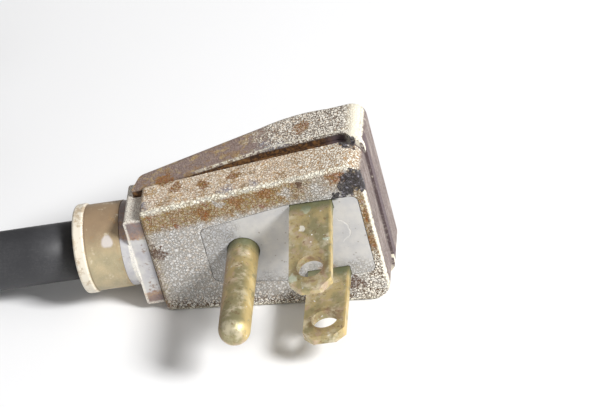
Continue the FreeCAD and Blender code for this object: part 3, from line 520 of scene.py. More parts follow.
def bump(tree, shader, height, strength, distance):
    node = addNode(tree, "ShaderNodeBump", Height=height, Strength=strength, Distance=distance * mm)
    tree.links.new(node.outputs[0], shader.inputs["Normal"])


# housing: pebbled off-white plastic, rusted and sooted by place
housingSettings = dict(
    noseX=8.5, cordEndX=-26.0, halfWidthAtNose=13.05, halfWidthAtCordEnd=9.5, parting=6.45, spacing=0.50,
    faceCrest=(0.72, 0.71, 0.69), faceCrease=(0.44, 0.41, 0.37), sideCrest=(0.93, 0.88, 0.78),
    sideCrease=(0.44, 0.28, 0.15), blackCrease=(0.16, 0.115, 0.090), brownCrease=(0.13, 0.080, 0.04),
    ochre=(0.29, 0.155, 0.040), olive=(0.40, 0.29, 0.10), redBrown=(0.27, 0.095, 0.027),
    darkBrown=(0.12, 0.060, 0.032),
    tan=(0.70, 0.47, 0.24), pink=(0.76, 0.57, 0.44), blueGrey=(0.30, 0.29, 0.35), plum=(0.20, 0.135, 0.115),
    mauve=(0.27, 0.195, 0.175), gold=(0.47, 0.33, 0.13), bare=(0.93, 0.88, 0.72), nose=(0.19, 0.145, 0.135),
    noseLight=(0.34, 0.28, 0.25), notch=(0.050, 0.026, 0.016), notchBrown=(0.20, 0.10, 0.035),
    notchEnd=(0.115, 0.080, 0.085), black=(0.030, 0.026, 0.028), drift=16.0, sideDrift=3.6,
    filmEnds=(-5.0, -9.5), partingLip=0.55,
    notchStart=(-24.6, 6.4), notchRun=17.1, notchRise=2.5, notchTop=9.3,
    redPlaces=[(-16.2, 0, 7.9, 1.7), (-11.2, 0, 9.2, 1.5), (-6.4, 0, 9.9, 1.6), (4.6, 0, 11.4, 2.3),
               (8.1, 0, 3.6, 1.8), (8.3, 0, -2.2, 1.8), (-22.5, 7.3, 9.9, 2.0), (-11.2, 4.4, 11.0, 1.5),
               (-1.0, 12.6, 12.4, 1.9), (-16.0, 3.6, 10.6, 1.8), (-20.5, 4.6, 10.0, 1.7)],
    brownPlaces=[(3.5, 0, -8.9, 2.0), (8.6, 0, 0.8, 1.9), (-24.9, 0, 1.5, 2.0), (-0.9, 0, 10.9, 1.4)],
    palePlaces=[(-13.6, 0, 9.4, 0.9), (-3.2, 0, 9.4, 1.5), (1.0, 0, 9.2, 1.7)],
    blackPlaces=[(7.0, 0, 10.4, 2.6), (5.6, 0, 8.4, 1.9), (3.9, 0, 7.4, 1.0), (8.5, 0, 8.6, 1.6),
                 (6.4, 6.3, 13.0, 2.2)],
    bluePlaces=[(-12.2, 1.0, 11.2, 1.6), (-25.3, 1.2, 9.8, 1.8), (-8.0, 0.8, 11.5, 1.2),
                (-4.5, 8.6, 11.5, 2.0), (-7.2, 9.8, 11.3, 2.2)],
    pitted=[(8.6, 0, -6.3, 5.2), (5.6, 0, -11.6, 4.0)])


def makeHousingMaterial(s):
    material, tree, shader = newMaterial("housing")
    vector, x, y, z = plugPlace(tree)
    grain = place(tree, pebbleGrain, Vector=vector, Spacing=s["spacing"])
    crest = grain.outputs["Crest"]
    taper = (s["halfWidthAtNose"] - s["halfWidthAtCordEnd"]) / (s["noseX"] - s["cordEndX"])
    halfWidth = calc(tree, "MULTIPLY_ADD", x, taper, s["halfWidthAtNose"] - taper * s["noseX"])
    fromSide = calc(tree, "SUBTRACT", halfWidth, calc(tree, "ABSOLUTE", z))
    fromNose = calc(tree, "SUBTRACT", s["noseX"], x)
    wobble = warped(tree, vector, 4.2, 0.75, 4.0, 0.65)
    blot = noise(tree, vector, 0.85, 5.0, 0.7)
    mottle = noise(tree, moved(tree, vector, 31.0, 7.0, 5.0), 1.7, 4.0, 0.7)
    onCover = ease(tree, y, s["parting"] - 0.1, s["parting"] + 0.1)
    onFace = ease(tree, y, 0.55, 0.15)
    onNose = ease(tree, fromNose, 0.5, 0.12)
    upper = ease(tree, z, -2.0, 2.0)
    blotted = calc(tree, "SUBTRACT", blot, 0.5)
    shaggyX = calc(tree, "MULTIPLY_ADD", blotted, s["drift"], x)
    shaggySide = calc(tree, "MULTIPLY_ADD", blotted, s["sideDrift"], fromSide)

    def covering(onCrest, inCrease):  # how much shows of a stain that lies unevenly on the pebbles
        return calc(tree, "MULTIPLY_ADD", crest, onCrest - inCrease, inCrease)

    # pebbles: grey on the face, cream on the sides, with creases from brown to black
    pitted = both(tree, patches(tree, wobble, s["pitted"]), onFace)
    speckled = both(tree, onCover, band(tree, shaggyX, -9.0, -6.0, 5.0, 8.0))
    lowEdge = both(tree, onFace, ease(tree, shaggySide, 3.2, 0.8), without(tree, upper))
    crestColor = mix(tree, onFace, s["sideCrest"], s["faceCrest"])
    crestColor = mix(tree, maskOf(tree, pitted, both(tree, lowEdge, mottle)), crestColor, s["sideCrest"])
    creaseColor = mix(tree, onFace, s["sideCrease"], s["faceCrease"])
    creaseColor = mix(tree, maskOf(tree, pitted, lowEdge), creaseColor, s["brownCrease"])
    speckled = both(tree, speckled, ease(tree, mottle, 0.35, 0.5))
    creaseColor = mix(tree, speckled, creaseColor, s["blackCrease"])
    dulled = both(tree, ease(tree, mottle, 0.46, 0.62), ease(tree, x, 6.0, -4.0, 0.15, 0.45))
    crestColor = mix(tree, dulled, crestColor, s["tan"], "MULTIPLY")
    color = mix(tree, ease(tree, crest, 0.10, 0.90), creaseColor, crestColor)

    # base side: tan and pink film near the cord, bluish dots near the ridge
    onSide = both(tree, without(tree, onCover), without(tree, onFace))
    sideFilm = both(tree, onSide, ease(tree, shaggyX, 6.0, -7.0), ease(tree, mottle, 0.36, 0.56, 0.25, 1.0))
    sideColor = mix(tree, ease(tree, blot, 0.42, 0.58), s["tan"], s["pink"])
    glow = both(tree, onSide, ease(tree, blot, 0.46, 0.60), 0.35)
    color = mix(tree, glow, color, s["gold"], "SOFT_LIGHT")
    color = mix(tree, both(tree, sideFilm, covering(0.35, 0.85)), color, sideColor)
    dust = ease(tree, noise(tree, vector, 0.55, 4.0, 0.65), 0.50, 0.62)
    dusty = both(tree, onSide, dust, ease(tree, x, 4.0, -2.0))
    color = mix(tree, both(tree, dusty, covering(0.40, 0.75)), color, s["ochre"])
    blue = both(tree, patches(tree, wobble, s["bluePlaces"]), ease(tree, mottle, 0.40, 0.55))
    color = mix(tree, both(tree, blue, without(tree, onFace), 0.85), color, s["blueGrey"])

    # cover's cord half: smooth plum film with gold and ochre streaks
    film = both(tree, onCover, ease(tree, shaggyX, *s["filmEnds"]))
    filmColor = mix(tree, ease(tree, mottle, 0.38, 0.60), s["plum"], s["mauve"])
    filmColor = mix(tree, both(tree, ease(tree, blot, 0.50, 0.66), 0.8), filmColor, s["gold"])
    ochreStreak = ease(tree, noise(tree, vector, 0.65, 4.0, 0.65), 0.53, 0.62)
    filmColor = mix(tree, both(tree, ochreStreak, 0.6), filmColor, s["ochre"])
    color = mix(tree, both(tree, film, 0.92), color, filmColor)

    # stained band on the face below the ridge, and round the face's two ends
    ridge = both(tree, onFace, upper, band(tree, shaggySide, 0.1, 0.8, 3.3, 4.9), ease(tree, x, 6.5, 4.5))
    ridge = both(tree, ridge, ease(tree, x, 3.0, -4.0, 0.45, 1.0))
    cordSide = ease(tree, calc(tree, "MULTIPLY_ADD", mottle, 5.0, x), -21.4, -24.2)
    noseSide = ease(tree, calc(tree, "MULTIPLY_ADD", mottle, 3.5, x), 7.9, 8.6)
    noseSide = both(tree, noseSide, ease(tree, z, -6.0, -1.0))
    ends = both(tree, onFace, maskOf(tree, cordSide, noseSide))
    pale = both(tree, patches(tree, wobble, s["palePlaces"]), 0.85)
    stained = both(tree, maskOf(tree, ridge, both(tree, ends, 0.85)), without(tree, pale))
    stainColor = mix(tree, ease(tree, mottle, 0.38, 0.56), s["olive"], s["ochre"])
    redder = ease(tree, noise(tree, vector, 0.6, 4.0, 0.65), 0.55, 0.64)
    stainColor = mix(tree, redder, stainColor, s["redBrown"])
    color = mix(tree, both(tree, stained, covering(0.70, 0.98)), color, stainColor)
    ragged = both(tree, calc(tree, "SUBTRACT", mottle, 0.5), 1.6)
    red = ease(tree, calc(tree, "ADD", patches(tree, wobble, s["redPlaces"]), ragged), 0.25, 0.65)
    redColor = mix(tree, ease(tree, mottle, 0.40, 0.60), s["redBrown"], s["ochre"])
    color = mix(tree, both(tree, red, without(tree, onNose), covering(0.67, 0.97)), color, redColor)
    brown = ease(tree, calc(tree, "ADD", patches(tree, wobble, s["brownPlaces"]), ragged), 0.25, 0.70)
    color = mix(tree, both(tree, brown, covering(0.60, 0.95)), color, s["darkBrown"])

    # nose: mauve-grey film in bands
    noseBand = noise(tree, stretched(tree, vector, 1.0, 1.6, 0.25), 0.9, 4.0, 0.6)
    noseColor = mix(tree, ease(tree, noseBand, 0.48, 0.64), s["nose"], s["noseLight"])
    color = mix(tree, both(tree, onNose, 0.95), color, noseColor)

    # the notch in each side: near black inside, rust towards the nose, violet at its closed end
    inNotch = both(tree, ease(tree, fromSide, 0.25, 0.6), ease(tree, y, 5.9, 6.3), ease(tree, y, 9.9, 9.3))
    notchColor = mix(tree, ease(tree, mottle, 0.42, 0.62), s["notch"], s["notchBrown"])
    notchColor = mix(tree, ease(tree, x, 2.0, 4.5), notchColor, s["notchEnd"])
    color = mix(tree, inNotch, color, notchColor)
    soot = calc(tree, "MULTIPLY_ADD", mottle, 0.3, patches(tree, wobble, s["blackPlaces"]))
    soot = ease(tree, soot, 0.35, 0.80)
    sootColor = mix(tree, ease(tree, mottle, 0.5, 0.7), s["black"], s["blueGrey"])
    color = mix(tree, both(tree, soot, 0.95), color, sootColor)

    # edges worn bare, with painted highlights along them: broken cream crests along the ridge, whole lines at
    # the nose
    ridgeLine = calc(tree, "MAXIMUM", calc(tree, "ABSOLUTE", calc(tree, "SUBTRACT", fromSide, 0.1)), y)
    fromLip = calc(tree, "ABSOLUTE", calc(tree, "SUBTRACT", y, s["parting"] + s["partingLip"]))
    fromCorner = calc(tree, "SUBTRACT", fromSide, 0.6)
    ridgeWearAndHighlight = both(tree, ease(tree, calc(tree, "MULTIPLY_ADD", mottle, 1.4, ridgeLine), 1.55, 1.0),
                     covering(0.95, 0.20))
    nearest = calc(tree, "MINIMUM", y, calc(tree, "MINIMUM", fromLip, fromCorner))
    noseEdge = calc(tree, "MAXIMUM", fromNose, nearest)
    noseWearAndHighlight = ease(tree, calc(tree, "ADD", mottle, noseEdge), 1.10, 0.75)
    coverEdge = both(tree, onCover, ease(tree, fromSide, 0.5, 0.2), band(tree, x, -19.0, -15.0, 6.0, 7.5))
    startX, startY = s["notchStart"]
    slope = s["notchRise"] / s["notchRun"]
    overSlope = calc(tree, "MULTIPLY_ADD", x, -slope, calc(tree, "SUBTRACT", y, startY - slope * startX))
    overNotch = calc(tree, "MAXIMUM", overSlope, calc(tree, "SUBTRACT", y, s["notchTop"]))
    lip = band(tree, overNotch, -0.2, 0.0, 0.15, 0.35)
    lipWearAndHighlight = both(tree, coverEdge, lip, ease(tree, mottle, 0.44, 0.54))
    # cream at the cover's nose corner: partly worn plastic, partly painted highlight
    corner = ease(tree, calc(tree, "MULTIPLY_ADD", mottle, 2.0, x), 6.4, 8.2)
    corner = both(tree, onCover, corner, without(tree, onNose))
    edgeWearAndHighlight = maskOf(tree, ridgeWearAndHighlight, noseWearAndHighlight, both(tree, lipWearAndHighlight, 0.9), both(tree, corner, 0.9))
    # the cream on all these edges is partly bare worn plastic, partly painted highlight
    color = mix(tree, both(tree, edgeWearAndHighlight, without(tree, soot), 0.92), color, s["bare"])

    # relief: the pebbles fade out in the film, the notch, the corner and nose, and towards the carrier
    bald = maskOf(tree, both(tree, film, 0.65), inNotch, both(tree, corner, 0.8), both(tree, onNose, 0.6))
    flat = both(tree, onFace, band(tree, shaggyX, -21.0, -17.5, -2.0, 0.0), ease(tree, shaggySide, 3.2, 5.2))
    height = both(tree, grain.outputs["Height"], without(tree, maskOf(tree, bald, both(tree, flat, 0.35))))
    height = calc(tree, "ADD", height, both(tree, stained, mottle, 0.5))
    tree.links.new(color, shader.inputs["Base Color"])
    tree.links.new(ease(tree, crest, 0.0, 1.0, 0.80, 0.50), shader.inputs["Roughness"])
    shader.inputs["Specular IOR Level"].default_value = 0.4
    bump(tree, shader, height, 1.0, 0.16)
    return material


# blade carrier: smooth grey-white plastic, specks and a curved scratch
carrierSettings = dict(
    color=(0.60, 0.59, 0.575), cool=(0.50, 0.50, 0.51), speck=(0.20, 0.15, 0.11), crease=(0.36, 0.33, 0.29),
    seam=(0.035, 0.040, 0.022), scuff=(0.80, 0.79, 0.77), scratch=(0.88, 0.86, 0.82), spacing=0.50,
    seamZ=7.2, seamX=(-4.3, -0.8, 3.6, 4.4), scratchCentre=(2.05, -0.05, 1.25), scratchRadius=2.6,
    stainPlaces=[(-11.9, 0, 0, 3.4), (0.0, 0, -6.4, 3.0)],
    pebblesFromX=(-9.5, -15.5), pebblesFromZ=(-3.6, -6.6))


def makeCarrierMaterial(s):
    material, tree, shader = newMaterial("carrier")
    vector, x, _, z = plugPlace(tree)
    aged = place(tree, agedTone, Vector=vector, Size=0.55)
    tone, fine = aged.outputs["Tone"], aged.outputs["Fine"]
    color = mix(tree, tone, s["color"], s["cool"])
    color = mix(tree, both(tree, aged.outputs["Speck"], 0.6, ease(tree, tone, 0.3, 0.7)), color, s["speck"])
    lines = place(tree, scuffs, Vector=vector, Stretch=(0.5, 1.0, 6.0))
    color = mix(tree, both(tree, lines.outputs[0], 0.35), color, s["scuff"])

    # scratch: part of a ring, shaken a little
    shaken = warped(tree, vector, 1.3, 1.2, 3.0)
    fromCentre = calcVector(tree, "DISTANCE", shaken, s["scratchCentre"])
    fromRing = calc(tree, "ABSOLUTE", calc(tree, "SUBTRACT", fromCentre, s["scratchRadius"]))
    arc = both(tree, ease(tree, fromRing, 0.16, 0.05), ease(tree, x, 3.1, 3.6))
    color = mix(tree, both(tree, arc, 0.5), color, s["scratch"])
    stained = both(tree, patches(tree, vector, s["stainPlaces"]), 0.66)
    stain = place(tree, rustStain, Vector=vector, Size=0.8, Amount=stained)
    color = mix(tree, both(tree, stain.outputs["Mask"], 0.55), color, stain.outputs["Color"])

    # pebbles come in over the cord end and the lower edge
    grain = place(tree, pebbleGrain, Vector=vector, Spacing=s["spacing"])
    shaggy = both(tree, calc(tree, "SUBTRACT", noise(tree, vector, 0.5, 3.0), 0.5), 12.0)
    atCordEnd = ease(tree, calc(tree, "ADD", x, shaggy), *s["pebblesFromX"])
    atEdge = both(tree, ease(tree, calc(tree, "MULTIPLY_ADD", shaggy, 0.4, z), *s["pebblesFromZ"]), 0.9)
    creased = both(tree, without(tree, grain.outputs["Crest"]), maskOf(tree, atCordEnd, atEdge))
    color = mix(tree, both(tree, creased, 0.9), color, s["crease"])
    seam = both(tree, ease(tree, z, s["seamZ"] - 0.35, s["seamZ"] - 0.12), band(tree, x, *s["seamX"]))
    color = mix(tree, both(tree, seam, 0.9), color, s["seam"])
    tree.links.new(color, shader.inputs["Base Color"])
    tree.links.new(ease(tree, fine, 0.2, 0.8, 0.34, 0.55), shader.inputs["Roughness"])
    relief = calc(tree, "SUBTRACT", both(tree, fine, 0.2), creased)
    bump(tree, shader, calc(tree, "SUBTRACT", relief, both(tree, arc, 0.2)), 0.9, 0.12)
    return material


# prongs: tarnished brass with pink, brown and blue-green patches, and a painted highlight along the edges
prongSettings = dict(
    gold=(0.60, 0.48, 0.24), olive=(0.37, 0.33, 0.18), pale=(0.70, 0.62, 0.44), pink=(0.62, 0.45, 0.35),
    verdigris=(0.30, 0.38, 0.33), salt=(0.80, 0.82, 0.83), root=(0.085, 0.105, 0.050),
    brown=(0.24, 0.13, 0.06), edge=(0.80, 0.62, 0.27),
    bladeHalfWidth=3.175, pinX=-11.9, holeCentre=(0.0, -11.9, 0.0),
    saltPlaces=[(-1.2, -4.9, 6.6, 0.9), (-11.4, -8.5, -2.4, 1.6), (-11.6, -11.0, -2.4, 1.3)],
    greenPlaces=[(1.6, -1.2, -7.1, 2.0), (-0.6, -1.4, 7.0, 1.2), (2.6, -7.7, 6.0, 0.9),
                 (-2.6, -13.5, 3.9, 1.1)])


def makeProngMaterial(s):
    material, tree, shader = newMaterial("prong_brass")
    vector, x, y, _ = plugPlace(tree)
    aged = place(tree, agedTone, Vector=vector, Size=0.35)
    fine = aged.outputs["Fine"]
    wide = noise(tree, stretched(tree, vector, 1.0, 0.55, 1.0), 0.30, 3.0, 0.55)
    other = noise(tree, moved(tree, vector, 17.0, 3.0, 5.0), 0.40, 4.0, 0.6)
    third = noise(tree, moved(tree, vector, 3.0, 11.0, 1.0), 0.70, 4.0, 0.6)
    color = mix(tree, ease(tree, wide, 0.42, 0.58), s["olive"], s["gold"])
    color = mix(tree, both(tree, ease(tree, other, 0.48, 0.62), 0.75), color, s["pale"])
    pinkish = both(tree, ease(tree, third, 0.50, 0.62), ease(tree, wide, 0.40, 0.55), 0.6)
    color = mix(tree, pinkish, color, s["pink"])
    brownish = ease(tree, noise(tree, vector, 1.5, 5.0, 0.7), 0.56, 0.66)
    color = mix(tree, both(tree, brownish, 0.65), color, s["brown"])
    wobble = warped(tree, vector, 1.6, 1.3, 3.0)

    # painted highlight along the nose side of the blades and pin, painted shade in brown on the pin's cord
    # side
    onBlade = ease(tree, x, s["pinX"] + 3.0, s["pinX"] + 4.0)
    onPin = without(tree, onBlade)
    bladeHighlight = ease(tree, x, s["bladeHalfWidth"] - 0.5, s["bladeHalfWidth"] - 0.05)
    edge = maskOf(tree, bladeHighlight, both(tree, onPin, ease(tree, x, s["pinX"] + 1.0, s["pinX"] + 2.2)))
    # painted highlight: bright gold along the nose-side edges
    color = mix(tree, both(tree, edge, ease(tree, third, 0.36, 0.50, 0.2, 0.85)), color, s["edge"])
    # painted shade: the pin's cord side is browned
    cordSide = both(tree, onPin, ease(tree, x, s["pinX"] - 1.2, s["pinX"] - 2.2))
    color = mix(tree, both(tree, cordSide, 0.6), color, s["brown"])

    # verdigris and salt by place, dark green at the root, brown round the holes
    green = maskOf(tree, ease(tree, patches(tree, wobble, s["greenPlaces"]), 0.15, 0.7),
                   both(tree, ease(tree, other, 0.66, 0.72), 0.6))
    color = mix(tree, both(tree, green, 0.60), color, s["verdigris"])
    saltDots = ease(tree, noise(tree, moved(tree, vector, 13.0, 1.0, 9.0), 1.9, 3.0, 0.6), 0.68, 0.72)
    salt = maskOf(tree, ease(tree, patches(tree, wobble, s["saltPlaces"]), 0.2, 0.9, 0.0, 0.6), saltDots)
    color = mix(tree, both(tree, salt, 0.85), color, s["salt"])
    root = ease(tree, calc(tree, "MULTIPLY_ADD", fine, 2.6, y), -1.6, 0.8)
    color = mix(tree, both(tree, root, 0.85), color, s["root"])
    fromHole = calcVector(tree, "DISTANCE", stretched(tree, wobble, 1.0, 1.0, 0.0), s["holeCentre"])
    holeRing = both(tree, onBlade, band(tree, fromHole, 1.0, 1.9, 2.3, 3.2))
    color = mix(tree, both(tree, holeRing, ease(tree, third, 0.40, 0.60, 0.1, 0.6)), color, s["brown"])
    dullness = both(tree, ease(tree, other, 0.5, 0.7), 0.5)
    crust = maskOf(tree, both(tree, green, 0.8), salt, both(tree, root, 0.7), dullness)
    tree.links.new(color, shader.inputs["Base Color"])
    tree.links.new(ease(tree, crust, 0.0, 1.0, 0.70, 0.05), shader.inputs["Metallic"])
    rough = calc(tree, "MULTIPLY_ADD", fine, 0.30, 0.26)
    tree.links.new(maskOf(tree, rough, both(tree, crust, 0.8)), shader.inputs["Roughness"])
    bump(tree, shader, calc(tree, "ADD", both(tree, crust, third), both(tree, fine, 0.4)), 0.6, 0.08)
    return material


# grip nut: yellowed smooth plastic, pale worn rim, plum stain on top
nutSettings = dict(
    tan=(0.52, 0.42, 0.25), olive=(0.36, 0.31, 0.19), rim=(0.82, 0.76, 0.64), plum=(0.24, 0.145, 0.085),
    bare=(0.74, 0.71, 0.72), rimStain=(0.42, 0.30, 0.17), dusty=(0.66, 0.58, 0.44), seam=(0.16, 0.11, 0.07),
    smear=(0.74, 0.66, 0.50), rimEndX=-35.75, barePlaces=[(-33.8, 2.6, -6.8, 3.2), (-32.2, 0.8, 4.6, 1.3)],
    ringsX=(-32.5, -30.5))


def makeNutMaterial(s):
    material, tree, shader = newMaterial("grip_nut")
    vector, x, _, z = plugPlace(tree)
    aged = place(tree, agedTone, Vector=vector, Size=0.7)
    fine = aged.outputs["Fine"]
    color = mix(tree, aged.outputs["Tone"], s["tan"], s["olive"])
    color = mix(tree, both(tree, ease(tree, fine, 0.5, 0.72), 0.5), color, s["dusty"])
    top = ease(tree, calc(tree, "MULTIPLY_ADD", fine, 6.0, z), 4.8, 9.5)
    color = mix(tree, both(tree, top, 0.75), color, s["plum"])
    bare = patches(tree, warped(tree, vector, 1.6, 0.30, 2.0), s["barePlaces"])
    color = mix(tree, ease(tree, bare, 0.0, 0.75, 0.0, 0.6), color, s["bare"])
    rings = ease(tree, noise(tree, stretched(tree, vector, 1.0, 0.12, 0.12), 1.1, 3.0), 0.52, 0.64)
    color = mix(tree, both(tree, rings, ease(tree, x, *s["ringsX"]), 0.55), color, s["rimStain"])
    rim = ease(tree, calc(tree, "MULTIPLY_ADD", fine, 0.4, x), s["rimEndX"] + 0.25, s["rimEndX"] + 0.1)
    color = mix(tree, both(tree, rim, 0.9), color, s["rim"])
    rimStain = both(tree, rim, ease(tree, noise(tree, vector, 0.5, 5.0, 0.7), 0.52, 0.64))
    color = mix(tree, both(tree, rimStain, 0.7), color, s["rimStain"])
    seam = ease(tree, calc(tree, "ABSOLUTE", calc(tree, "SUBTRACT", x, s["rimEndX"] + 0.15)), 0.16, 0.04)
    color = mix(tree, both(tree, seam, 0.5), color, s["seam"])
    rust = place(tree, rustStain, Vector=vector, Size=0.7, Amount=both(tree, aged.outputs["Tone"], 0.40))
    color = mix(tree, both(tree, rust.outputs["Mask"], 0.5), color, rust.outputs["Color"])
    smear = ease(tree, noise(tree, stretched(tree, vector, 1.0, 1.0, 0.6), 0.9, 5.0, 0.7), 0.58, 0.70)
    color = mix(tree, both(tree, smear, 0.55), color, s["smear"])
    tree.links.new(color, shader.inputs["Base Color"])
    tree.links.new(ease(tree, fine, 0.2, 0.8, 0.40, 0.62), shader.inputs["Roughness"])
    bump(tree, shader, calc(tree, "ADD", fine, rust.outputs["Height"]), 0.4, 0.05)
    return material


# end plate: smooth grey-lilac plastic, brown at its upper and lower ends, cream along its edges partly as
# painted highlight
plateSettings = dict(
    color=(0.60, 0.59, 0.57), cool=(0.44, 0.43, 0.46), stain=(0.20, 0.11, 0.06), plum=(0.20, 0.15, 0.15),
    creamAndHighlight=(0.86, 0.82, 0.72), endX=-28.8, halfWidth=8.0, middleZ=-0.6)


def makePlateMaterial(s):
    material, tree, shader = newMaterial("end_plate")
    vector, x, _, z = plugPlace(tree)
    aged = place(tree, agedTone, Vector=vector, Size=0.6)
    fine = aged.outputs["Fine"]
    color = mix(tree, aged.outputs["Tone"], s["color"], s["cool"])
    ends = ease(tree, calc(tree, "ABSOLUTE", calc(tree, "SUBTRACT", z, s["middleZ"])), 2.6, 7.4)
    rust = place(tree, rustStain, Vector=vector, Size=0.8, Amount=both(tree, ends, 0.98))
    rustColor = mix(tree, ease(tree, fine, 0.42, 0.6), rust.outputs["Color"], s["plum"])
    color = mix(tree, both(tree, rust.outputs["Mask"], 0.8), color, rustColor)
    spots = ease(tree, noise(tree, vector, 0.9, 5.0, 0.7), 0.57, 0.66)
    color = mix(tree, both(tree, spots, 0.7), color, s["stain"])
    # cream rim along the tips and the cord end: partly the plate's own colour, partly painted highlight
    tips = ease(tree, calc(tree, "ABSOLUTE", z), s["halfWidth"] - 0.6, s["halfWidth"] - 0.2)
    end = s["endX"]
    rim = maskOf(tree, tips, band(tree, x, end - 0.3, end - 0.1, end + 0.2, end + 0.5))
    color = mix(tree, both(tree, rim, ease(tree, fine, 0.40, 0.55)), color, s["creamAndHighlight"])
    tree.links.new(color, shader.inputs["Base Color"])
    tree.links.new(ease(tree, fine, 0.2, 0.8, 0.36, 0.58), shader.inputs["Roughness"])
    bump(tree, shader, calc(tree, "ADD", fine, rust.outputs["Height"]), 0.35, 0.05)
    return material


# plain small finishes: metal, rubber, copper, moulded vinyl, woven strap
metalFinishes = dict(
    screw_steel=dict(color=(0.56, 0.55, 0.52), dull=(0.36, 0.34, 0.31), rough=0.36, size=0.5, rust=0.42),
    washer_steel=dict(color=(0.60, 0.59, 0.57), dull=(0.42, 0.40, 0.37), rough=0.34, size=0.6, rust=0.30),
    clamp_brass=dict(color=(0.70, 0.55, 0.27), dull=(0.44, 0.33, 0.15), rough=0.36, size=0.5, rust=0.25),
    contact_brass=dict(color=(0.74, 0.60, 0.31), dull=(0.60, 0.47, 0.22), rough=0.30, size=0.6, rust=0.10),
    copper=dict(color=(0.80, 0.42, 0.25), dull=(0.42, 0.20, 0.12), rough=0.34, size=0.3, rust=0.10))


def makeMetal(name, s):
    material, tree, shader = newMaterial(name)
    vector = rowPlace(tree)
    aged = place(tree, agedTone, Vector=vector, Size=s["size"])
    lines = place(tree, scuffs, Vector=vector, Stretch=(1.2, 1.2, 12.0))
    color = mix(tree, aged.outputs["Tone"], s["color"], s["dull"])
    color = mix(tree, both(tree, lines.outputs[0], 0.5), color, s["color"])
    rust = place(tree, rustStain, Vector=vector, Size=0.5, Amount=both(tree, aged.outputs["Tone"], s["rust"]))
    color = mix(tree, rust.outputs["Mask"], color, rust.outputs["Color"])
    tree.links.new(color, shader.inputs["Base Color"])
    tree.links.new(ease(tree, rust.outputs["Mask"], 0.0, 1.0, 0.95, 0.1), shader.inputs["Metallic"])
    rough = calc(tree, "MULTIPLY_ADD", aged.outputs["Fine"], 0.22, s["rough"] - 0.08)
    tree.links.new(maskOf(tree, rough, both(tree, rust.outputs["Mask"], 0.8)), shader.inputs["Roughness"])
    bump(tree, shader, calc(tree, "ADD", aged.outputs["Fine"], lines.outputs[0]), 0.25, 0.02)
    return material


# base colour, dust, roughness, size of the changes of tone, grain per millimetre and its depth in millimetres
rubberFinishes = dict(
    cord_rubber=((0.030, 0.030, 0.033), (0.085, 0.085, 0.088), 0.52, 1.6, 2.2, 0.05),
    connector_vinyl=((0.034, 0.034, 0.037), (0.10, 0.10, 0.10), 0.50, 2.0, 1.6, 0.06),
    connector_face=((0.050, 0.050, 0.052), (0.14, 0.14, 0.14), 0.44, 1.2, 2.6, 0.03),
    seal_rubber=((0.060, 0.058, 0.055), (0.13, 0.12, 0.11), 0.65, 0.8, 3.0, 0.04),
    line_insulation=((0.028, 0.028, 0.028), (0.09, 0.09, 0.09), 0.42, 0.8, 3.0, 0.02),
    neutral_insulation=((0.80, 0.79, 0.75), (0.62, 0.59, 0.52), 0.42, 0.8, 3.0, 0.02),
    ground_insulation=((0.035, 0.27, 0.085), (0.08, 0.36, 0.15), 0.42, 0.8, 3.0, 0.02))


# matte rubber or vinyl: a slow change of tone, dust in patches, fine scuffs and a slight grain
def makeRubber(name, base, pale, rough, size, grainScale, depth):
    material, tree, shader = newMaterial(name)
    vector = rowPlace(tree)
    aged = place(tree, agedTone, Vector=vector, Size=size)
    lines = place(tree, scuffs, Vector=vector, Stretch=(0.35, 4.0, 4.0)).outputs[0]
    dust = both(tree, aged.outputs["Tone"], ease(tree, aged.outputs["Fine"], 0.35, 0.75))
    color = mix(tree, both(tree, dust, 0.55), base, pale)
    color = mix(tree, both(tree, lines, 0.6), color, pale)
    tree.links.new(color, shader.inputs["Base Color"])
    tree.links.new(calc(tree, "MULTIPLY_ADD", dust, 0.25, rough), shader.inputs["Roughness"])
    grain = noise(tree, vector, grainScale, 4.0, 0.6)
    bump(tree, shader, calc(tree, "MULTIPLY_ADD", lines, -0.4, grain), 0.35, depth)
    return material


strapSettings = dict(thread=(0.028, 0.028, 0.031), lint=(0.16, 0.155, 0.15), around=150.0, across=26.0)


# plain weave from the strap's own UV: raised threads along and across, out of step, with lint
def makeStrapMaterial(s):
    material, tree, shader = newMaterial("tie_fabric")
    uv = tree.nodes.new("ShaderNodeTexCoord").outputs["UV"]
    split = addNode(tree, "ShaderNodeSeparateXYZ", Vector=uv)
    u = calc(tree, "MULTIPLY", split.outputs[0], s["around"] * 2 * math.pi)
    v = calc(tree, "MULTIPLY", split.outputs[1], s["across"] * 2 * math.pi)
    weave = both(tree, calc(tree, "SINE", u), calc(tree, "SINE", v))
    fuzz = noise(tree, rowPlace(tree), 6.0, 4.0, 0.75)
    lint = both(tree, ease(tree, fuzz, 0.52, 0.75), ease(tree, weave, -0.3, 0.7))
    tree.links.new(mix(tree, lint, s["thread"], s["lint"]), shader.inputs["Base Color"])
    shader.inputs["Roughness"].default_value = 0.92
    shader.inputs["Sheen Weight"].default_value = 0.35
    bump(tree, shader, calc(tree, "ADD", weave, fuzz), 0.7, 0.12)
    return material


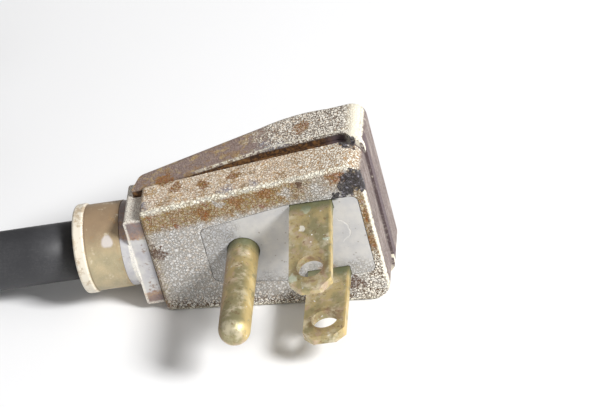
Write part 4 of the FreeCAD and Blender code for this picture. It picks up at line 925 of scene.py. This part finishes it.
made = dict(housing=makeHousingMaterial(housingSettings), carrier=makeCarrierMaterial(carrierSettings),
            prong_brass=makeProngMaterial(prongSettings), grip_nut=makeNutMaterial(nutSettings),
            end_plate=makePlateMaterial(plateSettings), tie_fabric=makeStrapMaterial(strapSettings))
made.update({name: makeMetal(name, s) for name, s in metalFinishes.items()})
made.update({name: makeRubber(name, *s) for name, s in rubberFinishes.items()})

for part in frame["record"]["subparts"]:
    node = nodes[part["node"]]
    node.data.materials.clear()
    node.data.materials.append(made[part["material_slot"]])
cord.data.materials.append(made["cord_rubber"])
for piece in (tie, tieLap):
    piece.data.materials.append(made["tie_fabric"])
print("materials made")


# floor and light
studio = dict(floorColor=(0.86, 0.86, 0.865), floorShade=0.985, floorReach=6000.0, floorSteps=9,
              worldStrength=0.37, lightDistance=1.5, keyPower=30.5, keySize=0.38, keyFrom=(0.85, -0.45, 0.80),
              fillPower=1.2, fillSize=0.57, fillFrom=(-0.7, -0.6, 0.5))


# a wide flat sheet under everything
def makeFloor(s):
    at = np.linspace(-s["floorReach"], s["floorReach"], s["floorSteps"])
    gx, gy = np.meshgrid(at, at, indexing="ij")
    floor = gridMesh("floor", np.stack([gx, gy, np.zeros_like(gx)], axis=-1))
    material, tree, shader = newMaterial("floorPaper")
    shade = noise(tree, rowPlace(tree), 0.004, 2.0)
    darker = tuple(c * s["floorShade"] for c in s["floorColor"])
    tree.links.new(mix(tree, shade, s["floorColor"], darker), shader.inputs["Base Color"])
    shader.inputs["Roughness"].default_value = 0.9
    floor.data.materials.append(material)


def makeLight(name, direction, power, size, distance):
    data = bpy.data.lights.new(name, "AREA")
    data.energy = power
    data.size = size
    light = bpy.data.objects.new(name, data)
    bpy.context.scene.collection.objects.link(light)
    away = Vector(direction).normalized()
    light.location = plugOrigin + away * distance
    light.rotation_euler = away.to_track_quat("Z", "Y").to_euler()


makeFloor(studio)
for lamp in ("key", "fill"):
    direction, power, size = (studio[lamp + word] for word in ("From", "Power", "Size"))
    makeLight(lamp, direction, power, size, studio["lightDistance"])
world = bpy.data.worlds.new("studio")
world.use_nodes = True
world.node_tree.nodes["Background"].inputs[0].default_value = (1.0, 1.0, 1.0, 1.0)
world.node_tree.nodes["Background"].inputs[1].default_value = studio["worldStrength"]
bpy.context.scene.world = world
bpy.context.scene.view_settings.view_transform = "Standard"
print("stage set")
